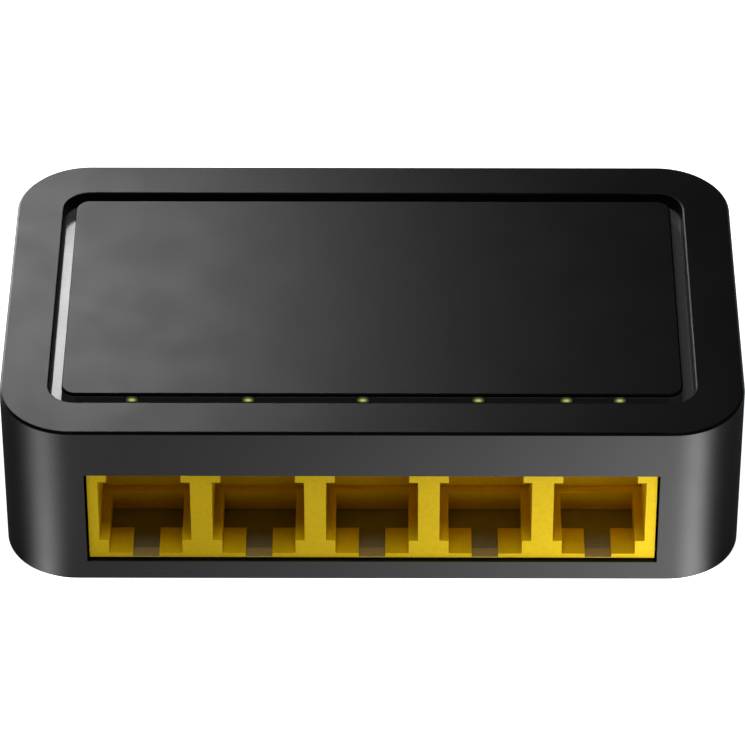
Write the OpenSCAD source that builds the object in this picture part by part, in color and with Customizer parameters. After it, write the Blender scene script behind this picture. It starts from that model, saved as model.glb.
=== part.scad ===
// Desktop network switch with five sockets.
// Origin: middle of the footprint, on the surface that the feet stand on.
// +X to the right, +Y to the back, +Z up. The sockets face -Y.

/* [Case] */
// Width of the case
case_w = 95.5; // [95:0.1:97]
// Depth of the case
case_d = 57.4; // [57:0.1:60]
// Height of the case walls
case_h = 24.3; // [24:0.1:27]
// Radius of the case's corners, seen from above
corner_r = 9.5; // [9:0.1:10]
// Thickness of the walls
wall_t = 1.8; // [1.6:0.1:1.8]
// Thickness of the top plate
top_t = 2.2; // [2:0.1:2.4]
// Size of the bevel along the upper rims
rim_bevel = 0.3; // [0.2:0.05:0.5]

/* [Top panel] */
// Width of the frame at the two sides of the groove
frame_side = 6.18; // [5.8:0.02:6.4]
// Width of the frame in front of the groove
frame_front = 6.2; // [5.8:0.1:6.4]
// Width of the frame behind the groove
frame_back = 6.1; // [5.8:0.1:6.3]
// Width of the groove round the centre panel
groove_w = 1.77; // [1.5:0.01:2]
// Outer radius of the groove's corners
groove_r = 3.5; // [3:0.1:4]
// Thickness of the centre panel's visible edge
panel_edge_t = 0.5; // [0.4:0.1:0.8]

/* [Base] */
// Thickness of the base plate
base_t = 1.2; // [1.2:0.1:1.5]
// How far the base plate stands below the walls
base_drop = 0.7; // [0.5:0.1:1]
// How far the feet stand below the base plate
foot_drop = 0.8; // [0.5:0.1:1.5]
// Radius of a foot
foot_r = 4.5; // [3.5:0.1:5]

/* [Sockets] */
// Distance between neighbouring sockets
port_pitch = 14.6; // [14.5:0.01:14.62]
// Width of a socket's mouth
mouth_w = 11.82; // [11.8:0.01:11.9]
// Depth from the socket's face to its back wall
mouth_depth = 11; // [10.8:0.1:11.2]
// Distance from the case's front to the sockets' face
face_set_back = 0.47; // [0.3:0.01:0.7]
// How far the contact wires hang down from their bend, in degrees
wire_slope = 30.3; // [29:0.1:31]

/* [Circuit board] */
// Thickness of the board
board_t = 1.6; // [1.5:0.1:1.6]
// Height of the board's top above the walls' lower edge
board_rise = 3.23; // [2.9:0.01:3.4]

/* [Power inlet] */
// Distance of the inlet from the middle of the case
inlet_x = 30; // [29:0.5:31]
// Radius of the centre pin
inlet_pin_r = 1; // [0.9:0.05:1.25]
// Radius of the round mouth
inlet_mouth_r = 3.2; // [3.1:0.05:3.3]

/* [Hidden] */

$fn = 64;
eps = 0.5;           // how far a cutter runs past the face that it cuts
running_gap = 0.02;  // radial clearance round a screw or peg

// heights
base_z = foot_drop;
wall_z = base_z + base_drop;
top_z = wall_z + case_h;
plate_z = top_z - top_t;
board_z = wall_z + board_rise;

// plan of the case
front_y = -case_d / 2;
back_y = case_d / 2;
inner_w = case_w - 2 * wall_t;
inner_d = case_d - 2 * wall_t;
inner_r = corner_r - wall_t;

// groove, tray and panel
opening_w = case_w - 2 * frame_side;
opening_d = case_d - frame_front - frame_back;
opening_y = (frame_front - frame_back) / 2;
panel_w = opening_w - 2 * groove_w;
panel_d = opening_d - 2 * groove_w;
panel_r = groove_r - groove_w;
tray_t = 1.6;
tray_flange = 3.3;
tray_z = plate_z - tray_t;
plateau_z = top_z - panel_edge_t;
plateau_wall = 1.5;
pocket_inset = 1.1;
pocket_depth = 0.5;
panel_front_y = opening_y - panel_d / 2;
peg_r = 1;
peg_x = panel_w / 2 - 5;
peg_y = panel_d / 2 - 5;
stake_r = 0.8;
stake_x = (opening_w + inner_w) / 4 + 0.3;
stake_y = 11;

// case screws and their bosses
boss_x = 41.6;
boss_y = 20.2;
boss_r = 2.5;
boss_rib_t = 1.8;
boss_top_z = tray_z - 0.4;
boss_hole_depth = 8;
screw_r = 1.25;
screw_head_r = 2.3;
screw_head_h = 1.2;
screw_length = 9;
head_seat_h = 1.35;
clearance_hole_r = 1.5;

// feet and vents
foot_x = 33.5;
foot_y = 19;
foot_seat = 0.5;
vent_w = 1.6;
vent_l = 13;
vent_count = 9;
vent_step = 3.6;
label_w = 40;
label_d = 18;
label_seat = 0.2;

// sockets: y is measured back from the face, z up from the board
port_count = 5;
face_y = front_y + face_set_back;
jack_w = 5 * port_pitch;
jack_d = 16.5;
jack_h = 13.72;
window_gap = 0.28;
cap_z = 12.52;
cap_opening_w = 9.5;
cap_depth = 3.2;
ledge_z = 2.9;
latch_w = 9.42;
latch_depth = 9.74;
catch_z = 0.75;
catch_depth = 5.1;
stem_w = 3.4;
sill_depth = 1.7;
sill_z = 0.2;
chamber_y = 13.2;
chamber_d = 2.4;
chamber_w = 9.2;
chamber_h = 12;
jack_peg_r = 1.2;
jack_peg_y = 9;

// the eight wires of a socket
wire_count = 8;
wire_pitch = 1.02;
wire_w = 0.36;
wire_t = 0.3;
wire_slot_w = 0.6;
wire_length = 9.32;
bend_y = 2.15;
bend_z = 12.5;
lead_z = 13;
lead_slot_z = 12.85;
lead_drop_z = 12.75;
slope_slot_end_y = 7.5;
comb_depth = 1.3;
comb_z = 7.2;
comb_h = 3.6;
tail_rows_y = [13.8, 15];
tail_drop = 0.9;
tail_hole_r = 0.4;

// light guide and lamps
lamp_x = [-30.75, -15.86, -1.18, 13.6, 24.87, 31.7];
lamp_y = -9.9;
lamp_size = [1.6, 0.9, 0.7];
guide_w = 1.8;
guide_bar_t = 2;
guide_z = tray_z - 0.4 - guide_bar_t;
guide_tip_d = 0.8;
guide_tip_z = plateau_z - 0.05;
guide_foot_gap = 0.4;

// power inlet: the body is set into the back wall
inlet_w = 9;
inlet_l = 14.4;
inlet_h = 11;
inlet_gap = 0.2;
inlet_back_y = back_y - 0.4;
inlet_z = board_z + 6.5;
inlet_mouth_d = 9.5;
inlet_front_y = inlet_back_y - inlet_l;
inlet_floor_y = inlet_back_y - inlet_mouth_d;
inlet_pin_end_y = inlet_back_y - 1;
inlet_root_r = inlet_pin_r + 0.3;
leaf_w = 2.6;
leaf_t = 0.3;
leaf_l = 6.6;
leaf_slope = 10;
leaf_root_y = inlet_back_y - 9.6;
leaf_root_z = inlet_z - 3.7;
tag_w = 2;
tag_t = 0.4;
tags_y = [inlet_front_y - tag_t / 2, leaf_root_y - 0.55];

function port_x(i) = (i - (port_count + 1) / 2) * port_pitch;
function wire_x(k) = (k - (wire_count - 1) / 2) * wire_pitch;

// flat shape with round corners
module round_rect(w, d, r) {
    square([w - 2 * r, d], center = true);
    square([w, d - 2 * r], center = true);
    for (sx = [-1, 1], sy = [-1, 1])
        translate([sx * (w / 2 - r), sy * (d / 2 - r)]) circle(r = r);
}

// upright block with round corners
module round_block(w, d, h, r) {
    linear_extrude(h) round_rect(w, d, r);
}

// block with round corners whose upper rim is bevelled
module rimmed_block(w, d, h, r, e) {
    round_block(w, d, h - e, r);
    for (sx = [-1, 1], sy = [-1, 1])
        translate([sx * (w / 2 - r), sy * (d / 2 - r), h - e]) cylinder(r1 = r, r2 = r - e, h = e);
    translate([0, 0, h - e]) rotate([90, 0, 90])
        translate([0, 0, r - w / 2]) linear_extrude(w - 2 * r) bevel_profile(d, e);
    translate([0, 0, h - e]) rotate([90, 0, 0])
        translate([0, 0, r - d / 2]) linear_extrude(d - 2 * r) bevel_profile(w, e);
}

// end view of a plate of width w whose two upper edges are bevelled by e
module bevel_profile(w, e) {
    polygon([[-w / 2, 0], [w / 2, 0], [w / 2 - e, e], [e - w / 2, e]]);
}

// box between two corners
module span(low, high) {
    translate(low) cube(high - low);
}

module mirror_xy() {
    for (sx = [0, 1], sy = [0, 1])
        mirror([sx, 0, 0]) mirror([0, sy, 0]) children();
}

// ---- case ----

module upper_housing() {
    color([0.06, 0.06, 0.065]) {
        difference() {
            translate([0, 0, wall_z]) rimmed_block(case_w, case_d, case_h, corner_r, rim_bevel);
            translate([0, 0, wall_z - eps])
                round_block(inner_w, inner_d, case_h - top_t + eps, inner_r);
            translate([0, opening_y, plate_z - eps])
                round_block(opening_w, opening_d, top_t + 2 * eps, groove_r);
            port_window();
            span([inlet_x - inlet_w / 2 - inlet_gap, back_y - wall_t - eps, board_z - inlet_gap],
                 [inlet_x + inlet_w / 2 + inlet_gap, back_y + eps, board_z + inlet_h + inlet_gap]);
        }
        mirror_xy() screw_boss();
        mirror_xy() translate([stake_x, stake_y, tray_z - 0.6])
            cylinder(r = stake_r, h = tray_t + 0.6 + eps);
    }
}

module port_window() {
    half = jack_w / 2 + window_gap;
    span([-half, front_y - eps, board_z - window_gap],
         [half, front_y + wall_t + eps, board_z + jack_h + window_gap]);
}

// column that takes a case screw, tied to the side wall by a rib
module screw_boss() {
    difference() {
        union() {
            translate([boss_x, boss_y, board_z]) cylinder(r = boss_r, h = boss_top_z - board_z);
            span([boss_x, boss_y - boss_rib_t / 2, board_z],
                 [inner_w / 2 + eps, boss_y + boss_rib_t / 2, boss_top_z]);
        }
        translate([boss_x, boss_y, board_z - eps])
            cylinder(r = screw_r + running_gap, h = boss_hole_depth + eps);
    }
}

// smoked tray: its flange is the groove's floor, its plateau carries the centre panel
module groove_tray() {
    color([0.1, 0.09, 0.08]) difference() {
        union() {
            translate([0, opening_y, tray_z])
                round_block(opening_w + 2 * tray_flange, opening_d + 2 * tray_flange, tray_t,
                            groove_r + tray_flange);
            translate([0, opening_y, tray_z])
                round_block(panel_w, panel_d, plateau_z - tray_z, panel_r);
        }
        translate([0, opening_y, tray_z - eps])
            round_block(panel_w - 2 * plateau_wall, panel_d - 2 * plateau_wall,
                        plateau_z - 1.4 - tray_z + eps, 0.6);
        translate([0, opening_y, plateau_z - pocket_depth])
            round_block(panel_w - 2 * pocket_inset, panel_d - 2 * pocket_inset,
                        pocket_depth + eps, 0.8);
        mirror_xy() translate([stake_x, stake_y, tray_z - eps])
            cylinder(r = stake_r + running_gap, h = tray_t + 2 * eps);
        translate([0, opening_y, 0]) mirror_xy() translate([peg_x, peg_y, tray_z])
            cylinder(r = peg_r + running_gap, h = plateau_z - tray_z);
        for (x = lamp_x)
            span([x - guide_w / 2 - 0.05, panel_front_y - eps, tray_z - eps],
                 [x + guide_w / 2 + 0.05, panel_front_y + guide_tip_d + 0.1, plateau_z + eps]);
    }
}

module centre_panel() {
    inner_gap = 0.1;
    color([0.06, 0.06, 0.065]) translate([0, opening_y, 0]) {
        translate([0, 0, plateau_z]) rimmed_block(panel_w, panel_d, panel_edge_t, panel_r, rim_bevel);
        translate([0, 0, plateau_z - pocket_depth + inner_gap])
            round_block(panel_w - 2 * pocket_inset - 2 * inner_gap,
                        panel_d - 2 * pocket_inset - 2 * inner_gap, pocket_depth, 0.7);
        mirror_xy() translate([peg_x, peg_y, tray_z + 0.8])
            cylinder(r = peg_r, h = plateau_z - tray_z - 0.8);
    }
}

module light_guide() {
    arm_back_y = lamp_y + guide_w / 2;
    color([0.85, 0.9, 0.85]) {
        for (x = lamp_x) {
            span([x - guide_w / 2, panel_front_y, guide_z],
                 [x + guide_w / 2, arm_back_y, guide_z + guide_bar_t]);
            span([x - guide_w / 2, panel_front_y, guide_z],
                 [x + guide_w / 2, panel_front_y + guide_tip_d, guide_tip_z]);
            span([x - guide_w / 2, arm_back_y - guide_w, board_z + lamp_size[2] + guide_foot_gap],
                 [x + guide_w / 2, arm_back_y, guide_z + guide_bar_t]);
        }
        span([lamp_x[0] - guide_w / 2, lamp_y - 4, guide_z],
             [lamp_x[5] + guide_w / 2, lamp_y - 2, guide_z + guide_bar_t]);
    }
}

// ---- base ----

module base_plate() {
    fit_gap = 0.25;
    color([0.07, 0.07, 0.075]) difference() {
        union() {
            translate([0, 0, base_z])
                round_block(inner_w - 2 * fit_gap, inner_d - 2 * fit_gap, base_t, inner_r - fit_gap);
            mirror_xy() translate([boss_x, boss_y, base_z])
                cylinder(r = boss_r + 0.3, h = board_z - board_t - base_z);
        }
        mirror_xy() translate([boss_x, boss_y, base_z - eps]) {
            cylinder(r = clearance_hole_r, h = board_z);
            cylinder(r = screw_head_r + 0.2, h = head_seat_h + eps);
        }
        mirror_xy() translate([foot_x, foot_y, base_z - eps])
            cylinder(r = foot_r + 0.1, h = foot_seat + eps);
        for (i = [0 : vent_count - 1], sy = [-1, 1])
            translate([(i - (vent_count - 1) / 2) * vent_step, sy * 17, base_z - eps])
                round_block(vent_w, vent_l, base_t + 2 * eps, vent_w / 2 - 0.01);
        translate([0, 0, base_z - eps]) round_block(label_w, label_d, label_seat + eps, 1.5);
    }
}

module rubber_feet() {
    color([0.12, 0.12, 0.12]) mirror_xy() translate([foot_x, foot_y, 0])
        cylinder(r = foot_r, h = foot_drop + foot_seat);
}

module case_screws() {
    head_z = base_z + head_seat_h - screw_head_h;
    slot_l = 2.6;
    slot_w = 0.6;
    slot_depth = 0.7;
    color([0.6, 0.6, 0.62]) mirror_xy() translate([boss_x, boss_y, head_z]) difference() {
        union() {
            cylinder(r = screw_head_r, h = screw_head_h);
            cylinder(r = screw_r, h = screw_length);
        }
        for (turn = [0, 90])
            rotate(turn) translate([-slot_l / 2, -slot_w / 2, -eps])
                cube([slot_l, slot_w, slot_depth + eps]);
    }
}

// ---- sockets ----

module jack_housing() {
    color([0.9, 0.74, 0.08]) translate([0, face_y, board_z]) {
        difference() {
            span([-jack_w / 2, 0, 0], [jack_w / 2, jack_d, jack_h]);
            for (i = [1 : port_count]) translate([port_x(i), 0, 0]) socket_hollow();
        }
        for (i = [1 : port_count - 1])
            translate([(port_x(i) + port_x(i + 1)) / 2, jack_peg_y, -board_t])
                cylinder(r = jack_peg_r, h = board_t + eps);
    }
}

module socket_hollow() {
    // mouth, with the ledges that the plug rests on
    span([-mouth_w / 2, -eps, ledge_z], [mouth_w / 2, mouth_depth, cap_z]);
    span([-cap_opening_w / 2, -eps, cap_z - eps], [cap_opening_w / 2, cap_depth, jack_h + eps]);
    // latch channel, open to the board behind the two catches
    span([-latch_w / 2, -eps, catch_z], [latch_w / 2, latch_depth, ledge_z + eps]);
    span([-latch_w / 2, catch_depth, -eps], [latch_w / 2, latch_depth, catch_z + eps]);
    span([-stem_w / 2, -eps, sill_z], [stem_w / 2, catch_depth + eps, catch_z + eps]);
    span([-stem_w / 2, sill_depth, -eps], [stem_w / 2, catch_depth + eps, catch_z]);
    // chamber for the wire tails
    span([-chamber_w / 2, chamber_y, -eps], [chamber_w / 2, chamber_y + chamber_d, chamber_h]);
    for (k = [0 : wire_count - 1]) translate([wire_x(k) - wire_slot_w / 2, 0, 0]) wire_slots();
}

module wire_slots() {
    chamber_end_y = chamber_y + chamber_d;
    span([0, bend_y - 0.6, cap_z - eps], [wire_slot_w, slope_slot_end_y, jack_h + eps]);
    span([0, slope_slot_end_y - eps, lead_slot_z], [wire_slot_w, chamber_end_y, jack_h + eps]);
    span([0, chamber_y, chamber_h - eps], [wire_slot_w, chamber_end_y, jack_h]);
    span([0, mouth_depth - eps, comb_z], [wire_slot_w, mouth_depth + comb_depth, comb_z + comb_h]);
}

// sprung ends of a socket's wires, from their bend to their free tips
module port_contacts(i) {
    color([0.85, 0.65, 0.25]) translate([port_x(i), face_y, board_z])
        for (k = [0 : wire_count - 1]) translate([wire_x(k), bend_y, bend_z]) {
            rotate([-wire_slope, 0, 0]) translate([-wire_w / 2, 0, -wire_t / 2])
                cube([wire_w, wire_length, wire_t]);
            rotate([0, 90, 0]) cylinder(r = wire_t / 2, h = wire_w, center = true);
        }
}

// fixed part of a socket's wires, from the bend over the ceiling and down to the board
module port_leads(i) {
    color([0.85, 0.65, 0.25]) translate([port_x(i), face_y, board_z])
        for (k = [0 : wire_count - 1]) translate([wire_x(k), 0, 0]) {
            tail_y = tail_rows_y[k % 2];
            span([-wire_w / 2, bend_y - wire_t / 2, lead_z],
                 [wire_w / 2, tail_y + wire_t / 2, lead_z + wire_t]);
            span([-wire_w / 2, bend_y - wire_t / 2, lead_drop_z],
                 [wire_w / 2, bend_y + wire_t / 2, lead_z + wire_t]);
            span([-wire_w / 2, tail_y - wire_t / 2, -board_t - tail_drop],
                 [wire_w / 2, tail_y + wire_t / 2, lead_z + wire_t]);
        }
}

module port_1_contacts() { port_contacts(1); }
module port_2_contacts() { port_contacts(2); }
module port_3_contacts() { port_contacts(3); }
module port_4_contacts() { port_contacts(4); }
module port_5_contacts() { port_contacts(5); }
module port_1_leads() { port_leads(1); }
module port_2_leads() { port_leads(2); }
module port_3_leads() { port_leads(3); }
module port_4_leads() { port_leads(4); }
module port_5_leads() { port_leads(5); }

// ---- circuit board and what is soldered to it ----

board_gap = 0.8;
board_w = inner_w - 2 * board_gap;
board_front_y = front_y + wall_t + 0.3;
board_back_y = back_y - wall_t - 0.3;
chip_w = 14;
chip_h = 1.4;
chip_y = 14.5;
chip_pins_side = 25;
chip_pin_pitch = 0.5;
module_w = 12.8;
module_d = 8.4;
module_h = 5.8;
module_y = -2.2;
module_pins_side = 12;
module_pin_pitch = 1;
capacitors = [[-35, 13, 3.15, 10], [-27, 13, 3.15, 10], [-31, 21, 4, 11]];
regulator_at = [18, 21];
memory_at = [-15, 22];
small_chip = [4.9, 3.9, 1.5];
inductor_at = [17.5, 12];

module circuit_board() {
    corner = inner_r - board_gap;
    color([0.08, 0.25, 0.14]) difference() {
        translate([0, (board_front_y + board_back_y) / 2, board_z - board_t])
            round_block(board_w, board_back_y - board_front_y, board_t, corner);
        mirror_xy() translate([boss_x, boss_y, board_z - board_t - eps])
            cylinder(r = clearance_hole_r, h = board_t + 2 * eps);
        translate([0, face_y, board_z - board_t - eps]) {
            for (i = [1 : port_count - 1])
                translate([(port_x(i) + port_x(i + 1)) / 2, jack_peg_y, 0])
                    cylinder(r = jack_peg_r + running_gap, h = board_t + 2 * eps);
            for (i = [1 : port_count], k = [0 : wire_count - 1])
                translate([port_x(i) + wire_x(k), tail_rows_y[k % 2], 0])
                    cylinder(r = tail_hole_r, h = board_t + 2 * eps);
        }
        for (y = tags_y) translate([inlet_x, y, board_z - board_t - eps])
            cylinder(r = tag_w / 2 + 0.2, h = board_t + 2 * eps);
    }
}

module status_leds() {
    color([0.95, 0.95, 0.85]) for (x = lamp_x)
        translate([x - lamp_size[0] / 2, lamp_y - lamp_size[1] / 2, board_z]) cube(lamp_size);
}

// bent leg of a surface-mounted package, pointing along +X from the package's side
module gull_leg(w, h) {
    leg_t = 0.15;
    foot_l = 0.9;
    translate([-0.2, -w / 2, h - leg_t]) cube([0.6, w, leg_t]);
    translate([0.25, -w / 2, 0]) cube([leg_t, w, h]);
    translate([0.25, -w / 2, 0]) cube([foot_l, w, leg_t]);
}

module switch_chip() {
    mark_r = 0.6;
    color([0.05, 0.05, 0.05]) translate([0, chip_y, board_z + 0.1]) difference() {
        round_block(chip_w, chip_w, chip_h, 0.4);
        translate([-chip_w / 2 + 2, -chip_w / 2 + 2, chip_h - 0.1]) cylinder(r = mark_r, h = eps);
    }
}

module switch_chip_pins() {
    color([0.75, 0.75, 0.77]) translate([0, chip_y, board_z])
        for (turn = [0, 90, 180, 270], k = [0 : chip_pins_side - 1])
            rotate(turn) translate([chip_w / 2 + 0.2, (k - (chip_pins_side - 1) / 2) * chip_pin_pitch, 0])
                gull_leg(0.22, 0.7);
}

module crystal() {
    color([0.75, 0.75, 0.77]) translate([-14, 11, board_z]) {
        round_block(4.7, 11.4, 0.5, 2.3);
        round_block(3.9, 10.6, 3.5, 1.9);
    }
}

module magnetics_modules() {
    color([0.05, 0.05, 0.05]) for (i = [1 : port_count])
        translate([port_x(i), module_y, board_z + 0.15]) round_block(module_w, module_d, module_h, 0.5);
}

module magnetics_pins() {
    color([0.75, 0.75, 0.77]) for (i = [1 : port_count], side = [90, 270], k = [0 : module_pins_side - 1])
        translate([port_x(i), module_y, board_z]) rotate(side)
            translate([module_d / 2 + 0.2, (k - (module_pins_side - 1) / 2) * module_pin_pitch, 0])
                gull_leg(0.4, 1.6);
}

module small_package(at) {
    translate([at[0], at[1], board_z + 0.1]) round_block(small_chip[0], small_chip[1], small_chip[2], 0.3);
}

module regulator_chip() {
    color([0.05, 0.05, 0.05]) small_package(regulator_at);
}

module memory_chip() {
    color([0.05, 0.05, 0.05]) small_package(memory_at);
}

// legs of the two small chips
module chip_legs() {
    leg_pitch = 1.27;
    color([0.75, 0.75, 0.77]) for (at = [regulator_at, memory_at], side = [90, 270], k = [-1.5 : 1.5])
        translate([at[0], at[1], board_z]) rotate(side)
            translate([small_chip[1] / 2 + 0.2, k * leg_pitch, 0]) gull_leg(0.4, 0.8);
}

module power_inductor() {
    color([0.25, 0.25, 0.26]) translate([inductor_at[0], inductor_at[1], board_z]) {
        round_block(7, 7, 0.8, 1);
        translate([0, 0, 0.8]) cylinder(r = 2.4, h = 2.2);
        translate([0, 0, 3]) cylinder(r = 3.3, h = 0.9);
    }
}

// aluminium cans, each standing in its printed sleeve
module filter_capacitors() {
    color([0.75, 0.75, 0.77]) for (c = capacitors)
        translate([c[0], c[1], board_z + 0.3]) cylinder(r = c[2] - 0.1, h = c[3]);
}

module capacitor_sleeves() {
    color([0.1, 0.12, 0.3]) for (c = capacitors)
        translate([c[0], c[1], board_z + 0.3]) difference() {
            cylinder(r = c[2], h = c[3] + 0.1);
            translate([0, 0, -eps]) cylinder(r = c[2] - 0.1, h = c[3] + 2 * eps);
        }
}

module input_diode() {
    color([0.08, 0.08, 0.08]) translate([21, 6, board_z + 0.1]) round_block(4.3, 2.6, 2.2, 0.2);
}

module input_fuse() {
    color([0.2, 0.35, 0.2]) translate([28.5, 7.5, board_z]) round_block(4.5, 3.2, 0.9, 0.2);
}

// two rows of small parts beside the switch chip
module ceramic_capacitors() {
    color([0.6, 0.5, 0.38]) for (k = [-5 : 5])
        translate([k * 2.2 - 0.8, 4.3, board_z]) cube([1.6, 0.8, 0.8]);
}

module chip_resistors() {
    color([0.06, 0.06, 0.06]) for (k = [-5 : 5], y = [-9.2, 24.4])
        translate([k * 2.2 - 0.8 + (y < 0 ? 7.5 : 0), y, board_z]) cube([1.6, 0.8, 0.5]);
}

// ---- power inlet ----

module dc_jack_body() {
    color([0.07, 0.07, 0.07]) difference() {
        span([inlet_x - inlet_w / 2, inlet_front_y, board_z],
             [inlet_x + inlet_w / 2, inlet_back_y, board_z + inlet_h]);
        translate([inlet_x, inlet_floor_y, inlet_z]) rotate([-90, 0, 0])
            cylinder(r = inlet_mouth_r, h = inlet_mouth_d + eps);
        translate([inlet_x, inlet_front_y - eps, inlet_z]) rotate([-90, 0, 0])
            cylinder(r = inlet_root_r, h = inlet_l - inlet_mouth_d + 2 * eps);
        span([inlet_x - leaf_w / 2 - 0.2, leaf_root_y - 0.6, inlet_z - 4.6],
             [inlet_x + leaf_w / 2 + 0.2, inlet_back_y - 1.6, inlet_z - 1.8]);
        span([inlet_x - leaf_w / 2 - 0.2, leaf_root_y - 0.9, board_z - eps],
             [inlet_x + leaf_w / 2 + 0.2, leaf_root_y - 0.2, inlet_z - 3]);
    }
}

// centre pin, with a thicker root that is held in the body
module dc_jack_pin() {
    color([0.8, 0.8, 0.82]) translate([inlet_x, inlet_front_y, inlet_z]) rotate([-90, 0, 0]) {
        cylinder(r = inlet_root_r, h = inlet_floor_y - inlet_front_y);
        cylinder(r = inlet_pin_r, h = inlet_pin_end_y - inlet_front_y);
    }
}

// sprung leaf that presses on the plug's sleeve from below
module dc_jack_leaf() {
    color([0.8, 0.8, 0.82]) translate([inlet_x, leaf_root_y, leaf_root_z]) {
        rotate([leaf_slope, 0, 0]) translate([-leaf_w / 2, 0, -leaf_t / 2]) cube([leaf_w, leaf_l, leaf_t]);
        rotate([0, 90, 0]) cylinder(r = leaf_t / 2, h = leaf_w, center = true);
    }
}

// solder tags through the board: one behind the centre pin, one under the leaf's root
module dc_jack_terminals() {
    tag_low_z = board_z - board_t - tail_drop;
    tag_tops_z = [inlet_z + tag_w / 2, leaf_root_z - 0.4];
    color([0.8, 0.8, 0.82]) for (k = [0, 1])
        span([inlet_x - tag_w / 2, tags_y[k] - tag_t / 2, tag_low_z],
             [inlet_x + tag_w / 2, tags_y[k] + tag_t / 2, tag_tops_z[k]]);
}

upper_housing();
groove_tray();
centre_panel();
light_guide();
base_plate();
rubber_feet();
case_screws();
circuit_board();
jack_housing();
port_1_contacts();
port_2_contacts();
port_3_contacts();
port_4_contacts();
port_5_contacts();
port_1_leads();
port_2_leads();
port_3_leads();
port_4_leads();
port_5_leads();
status_leds();
switch_chip();
switch_chip_pins();
crystal();
magnetics_modules();
magnetics_pins();
memory_chip();
regulator_chip();
chip_legs();
power_inductor();
filter_capacitors();
capacitor_sleeves();
input_diode();
input_fuse();
ceramic_capacitors();
chip_resistors();
dc_jack_body();
dc_jack_pin();
dc_jack_leaf();
dc_jack_terminals();
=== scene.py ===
"""Looks of a desktop network switch with five sockets, built round its packed frame.

Shape functions work in millimetres, in the frame of the packed model: +X right, +Y back, +Z up.
"""

import math

import bmesh
import bpy
import numpy as np
from mathutils import Euler, Matrix, Vector


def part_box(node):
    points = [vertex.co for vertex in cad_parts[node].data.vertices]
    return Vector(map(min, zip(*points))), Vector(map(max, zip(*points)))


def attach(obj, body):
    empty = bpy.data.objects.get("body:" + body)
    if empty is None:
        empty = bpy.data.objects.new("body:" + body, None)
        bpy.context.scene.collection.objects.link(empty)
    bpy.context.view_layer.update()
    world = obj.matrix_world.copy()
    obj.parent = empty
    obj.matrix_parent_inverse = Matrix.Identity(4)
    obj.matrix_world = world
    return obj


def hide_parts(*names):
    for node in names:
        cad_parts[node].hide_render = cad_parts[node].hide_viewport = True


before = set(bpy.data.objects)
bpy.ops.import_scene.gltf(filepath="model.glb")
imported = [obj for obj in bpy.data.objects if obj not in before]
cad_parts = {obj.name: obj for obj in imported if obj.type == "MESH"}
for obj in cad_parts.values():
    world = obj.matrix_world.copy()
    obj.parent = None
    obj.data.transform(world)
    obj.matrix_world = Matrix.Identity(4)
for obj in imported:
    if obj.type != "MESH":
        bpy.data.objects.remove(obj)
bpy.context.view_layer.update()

bl_info = {
    "name": "Desktop network switch",
    "version": (1, 0, 0),
    "blender": (4, 5, 0),
    "location": "View3D > Sidebar > Network switch",
    "description": "Builds the finished surfaces of a five-port desktop network switch",
    "category": "Object",
}

MM = 0.001
CASE = "case"
PORTS = range(1, 6)
CORNER_STEPS = 24
SCREW_X, SCREW_Y = 41.6, 20.2
FOOT_X, FOOT_Y = 33.5, 19.0
PIN_R = 1.0
INLET_DEPTH = 9.5


def node_box(node):
    """Lowest and highest corner of a packed node, in millimetres."""
    low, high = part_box(node)
    return np.array(low) / MM, np.array(high) / MM


HOUSING_LOW, HOUSING_HIGH = node_box("upper_housing")
TRAY_LOW, TRAY_HIGH = node_box("groove_tray")
PANEL_LOW, PANEL_HIGH = node_box("centre_panel")
BOARD_LOW, BOARD_HIGH = node_box("circuit_board")
JACK_LOW, JACK_HIGH = node_box("jack_housing")
INLET_LOW, INLET_HIGH = node_box("dc_jack_body")
GUIDE_HIGH = node_box("light_guide")[1]
FEET_HIGH = node_box("rubber_feet")[1]

CASE_W, CASE_D = (HOUSING_HIGH - HOUSING_LOW)[:2]
TOP_Z, WALL_Z = HOUSING_HIGH[2], HOUSING_LOW[2]
BOARD_Z = JACK_LOW[2] + (BOARD_HIGH[2] - BOARD_LOW[2])
OPENING_Y = (PANEL_LOW[1] + PANEL_HIGH[1]) / 2
PANEL_W, PANEL_D = (PANEL_HIGH - PANEL_LOW)[:2]


# ---- settings ----


def length(label, about, value):
    """A length setting; its default is given in millimetres."""
    return bpy.props.FloatProperty(
        name=label, description=about, default=value * MM, min=0.0, unit="LENGTH", precision=5
    )


def tint(label, about, value):
    """A colour setting."""
    return bpy.props.FloatVectorProperty(
        name=label, description=about, default=value, size=3, min=0.0, max=1.0, subtype="COLOR"
    )


def share(label, about, value, top=1.0):
    """A plain number setting."""
    return bpy.props.FloatProperty(name=label, description=about, default=value, min=0.0, max=top)


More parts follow.
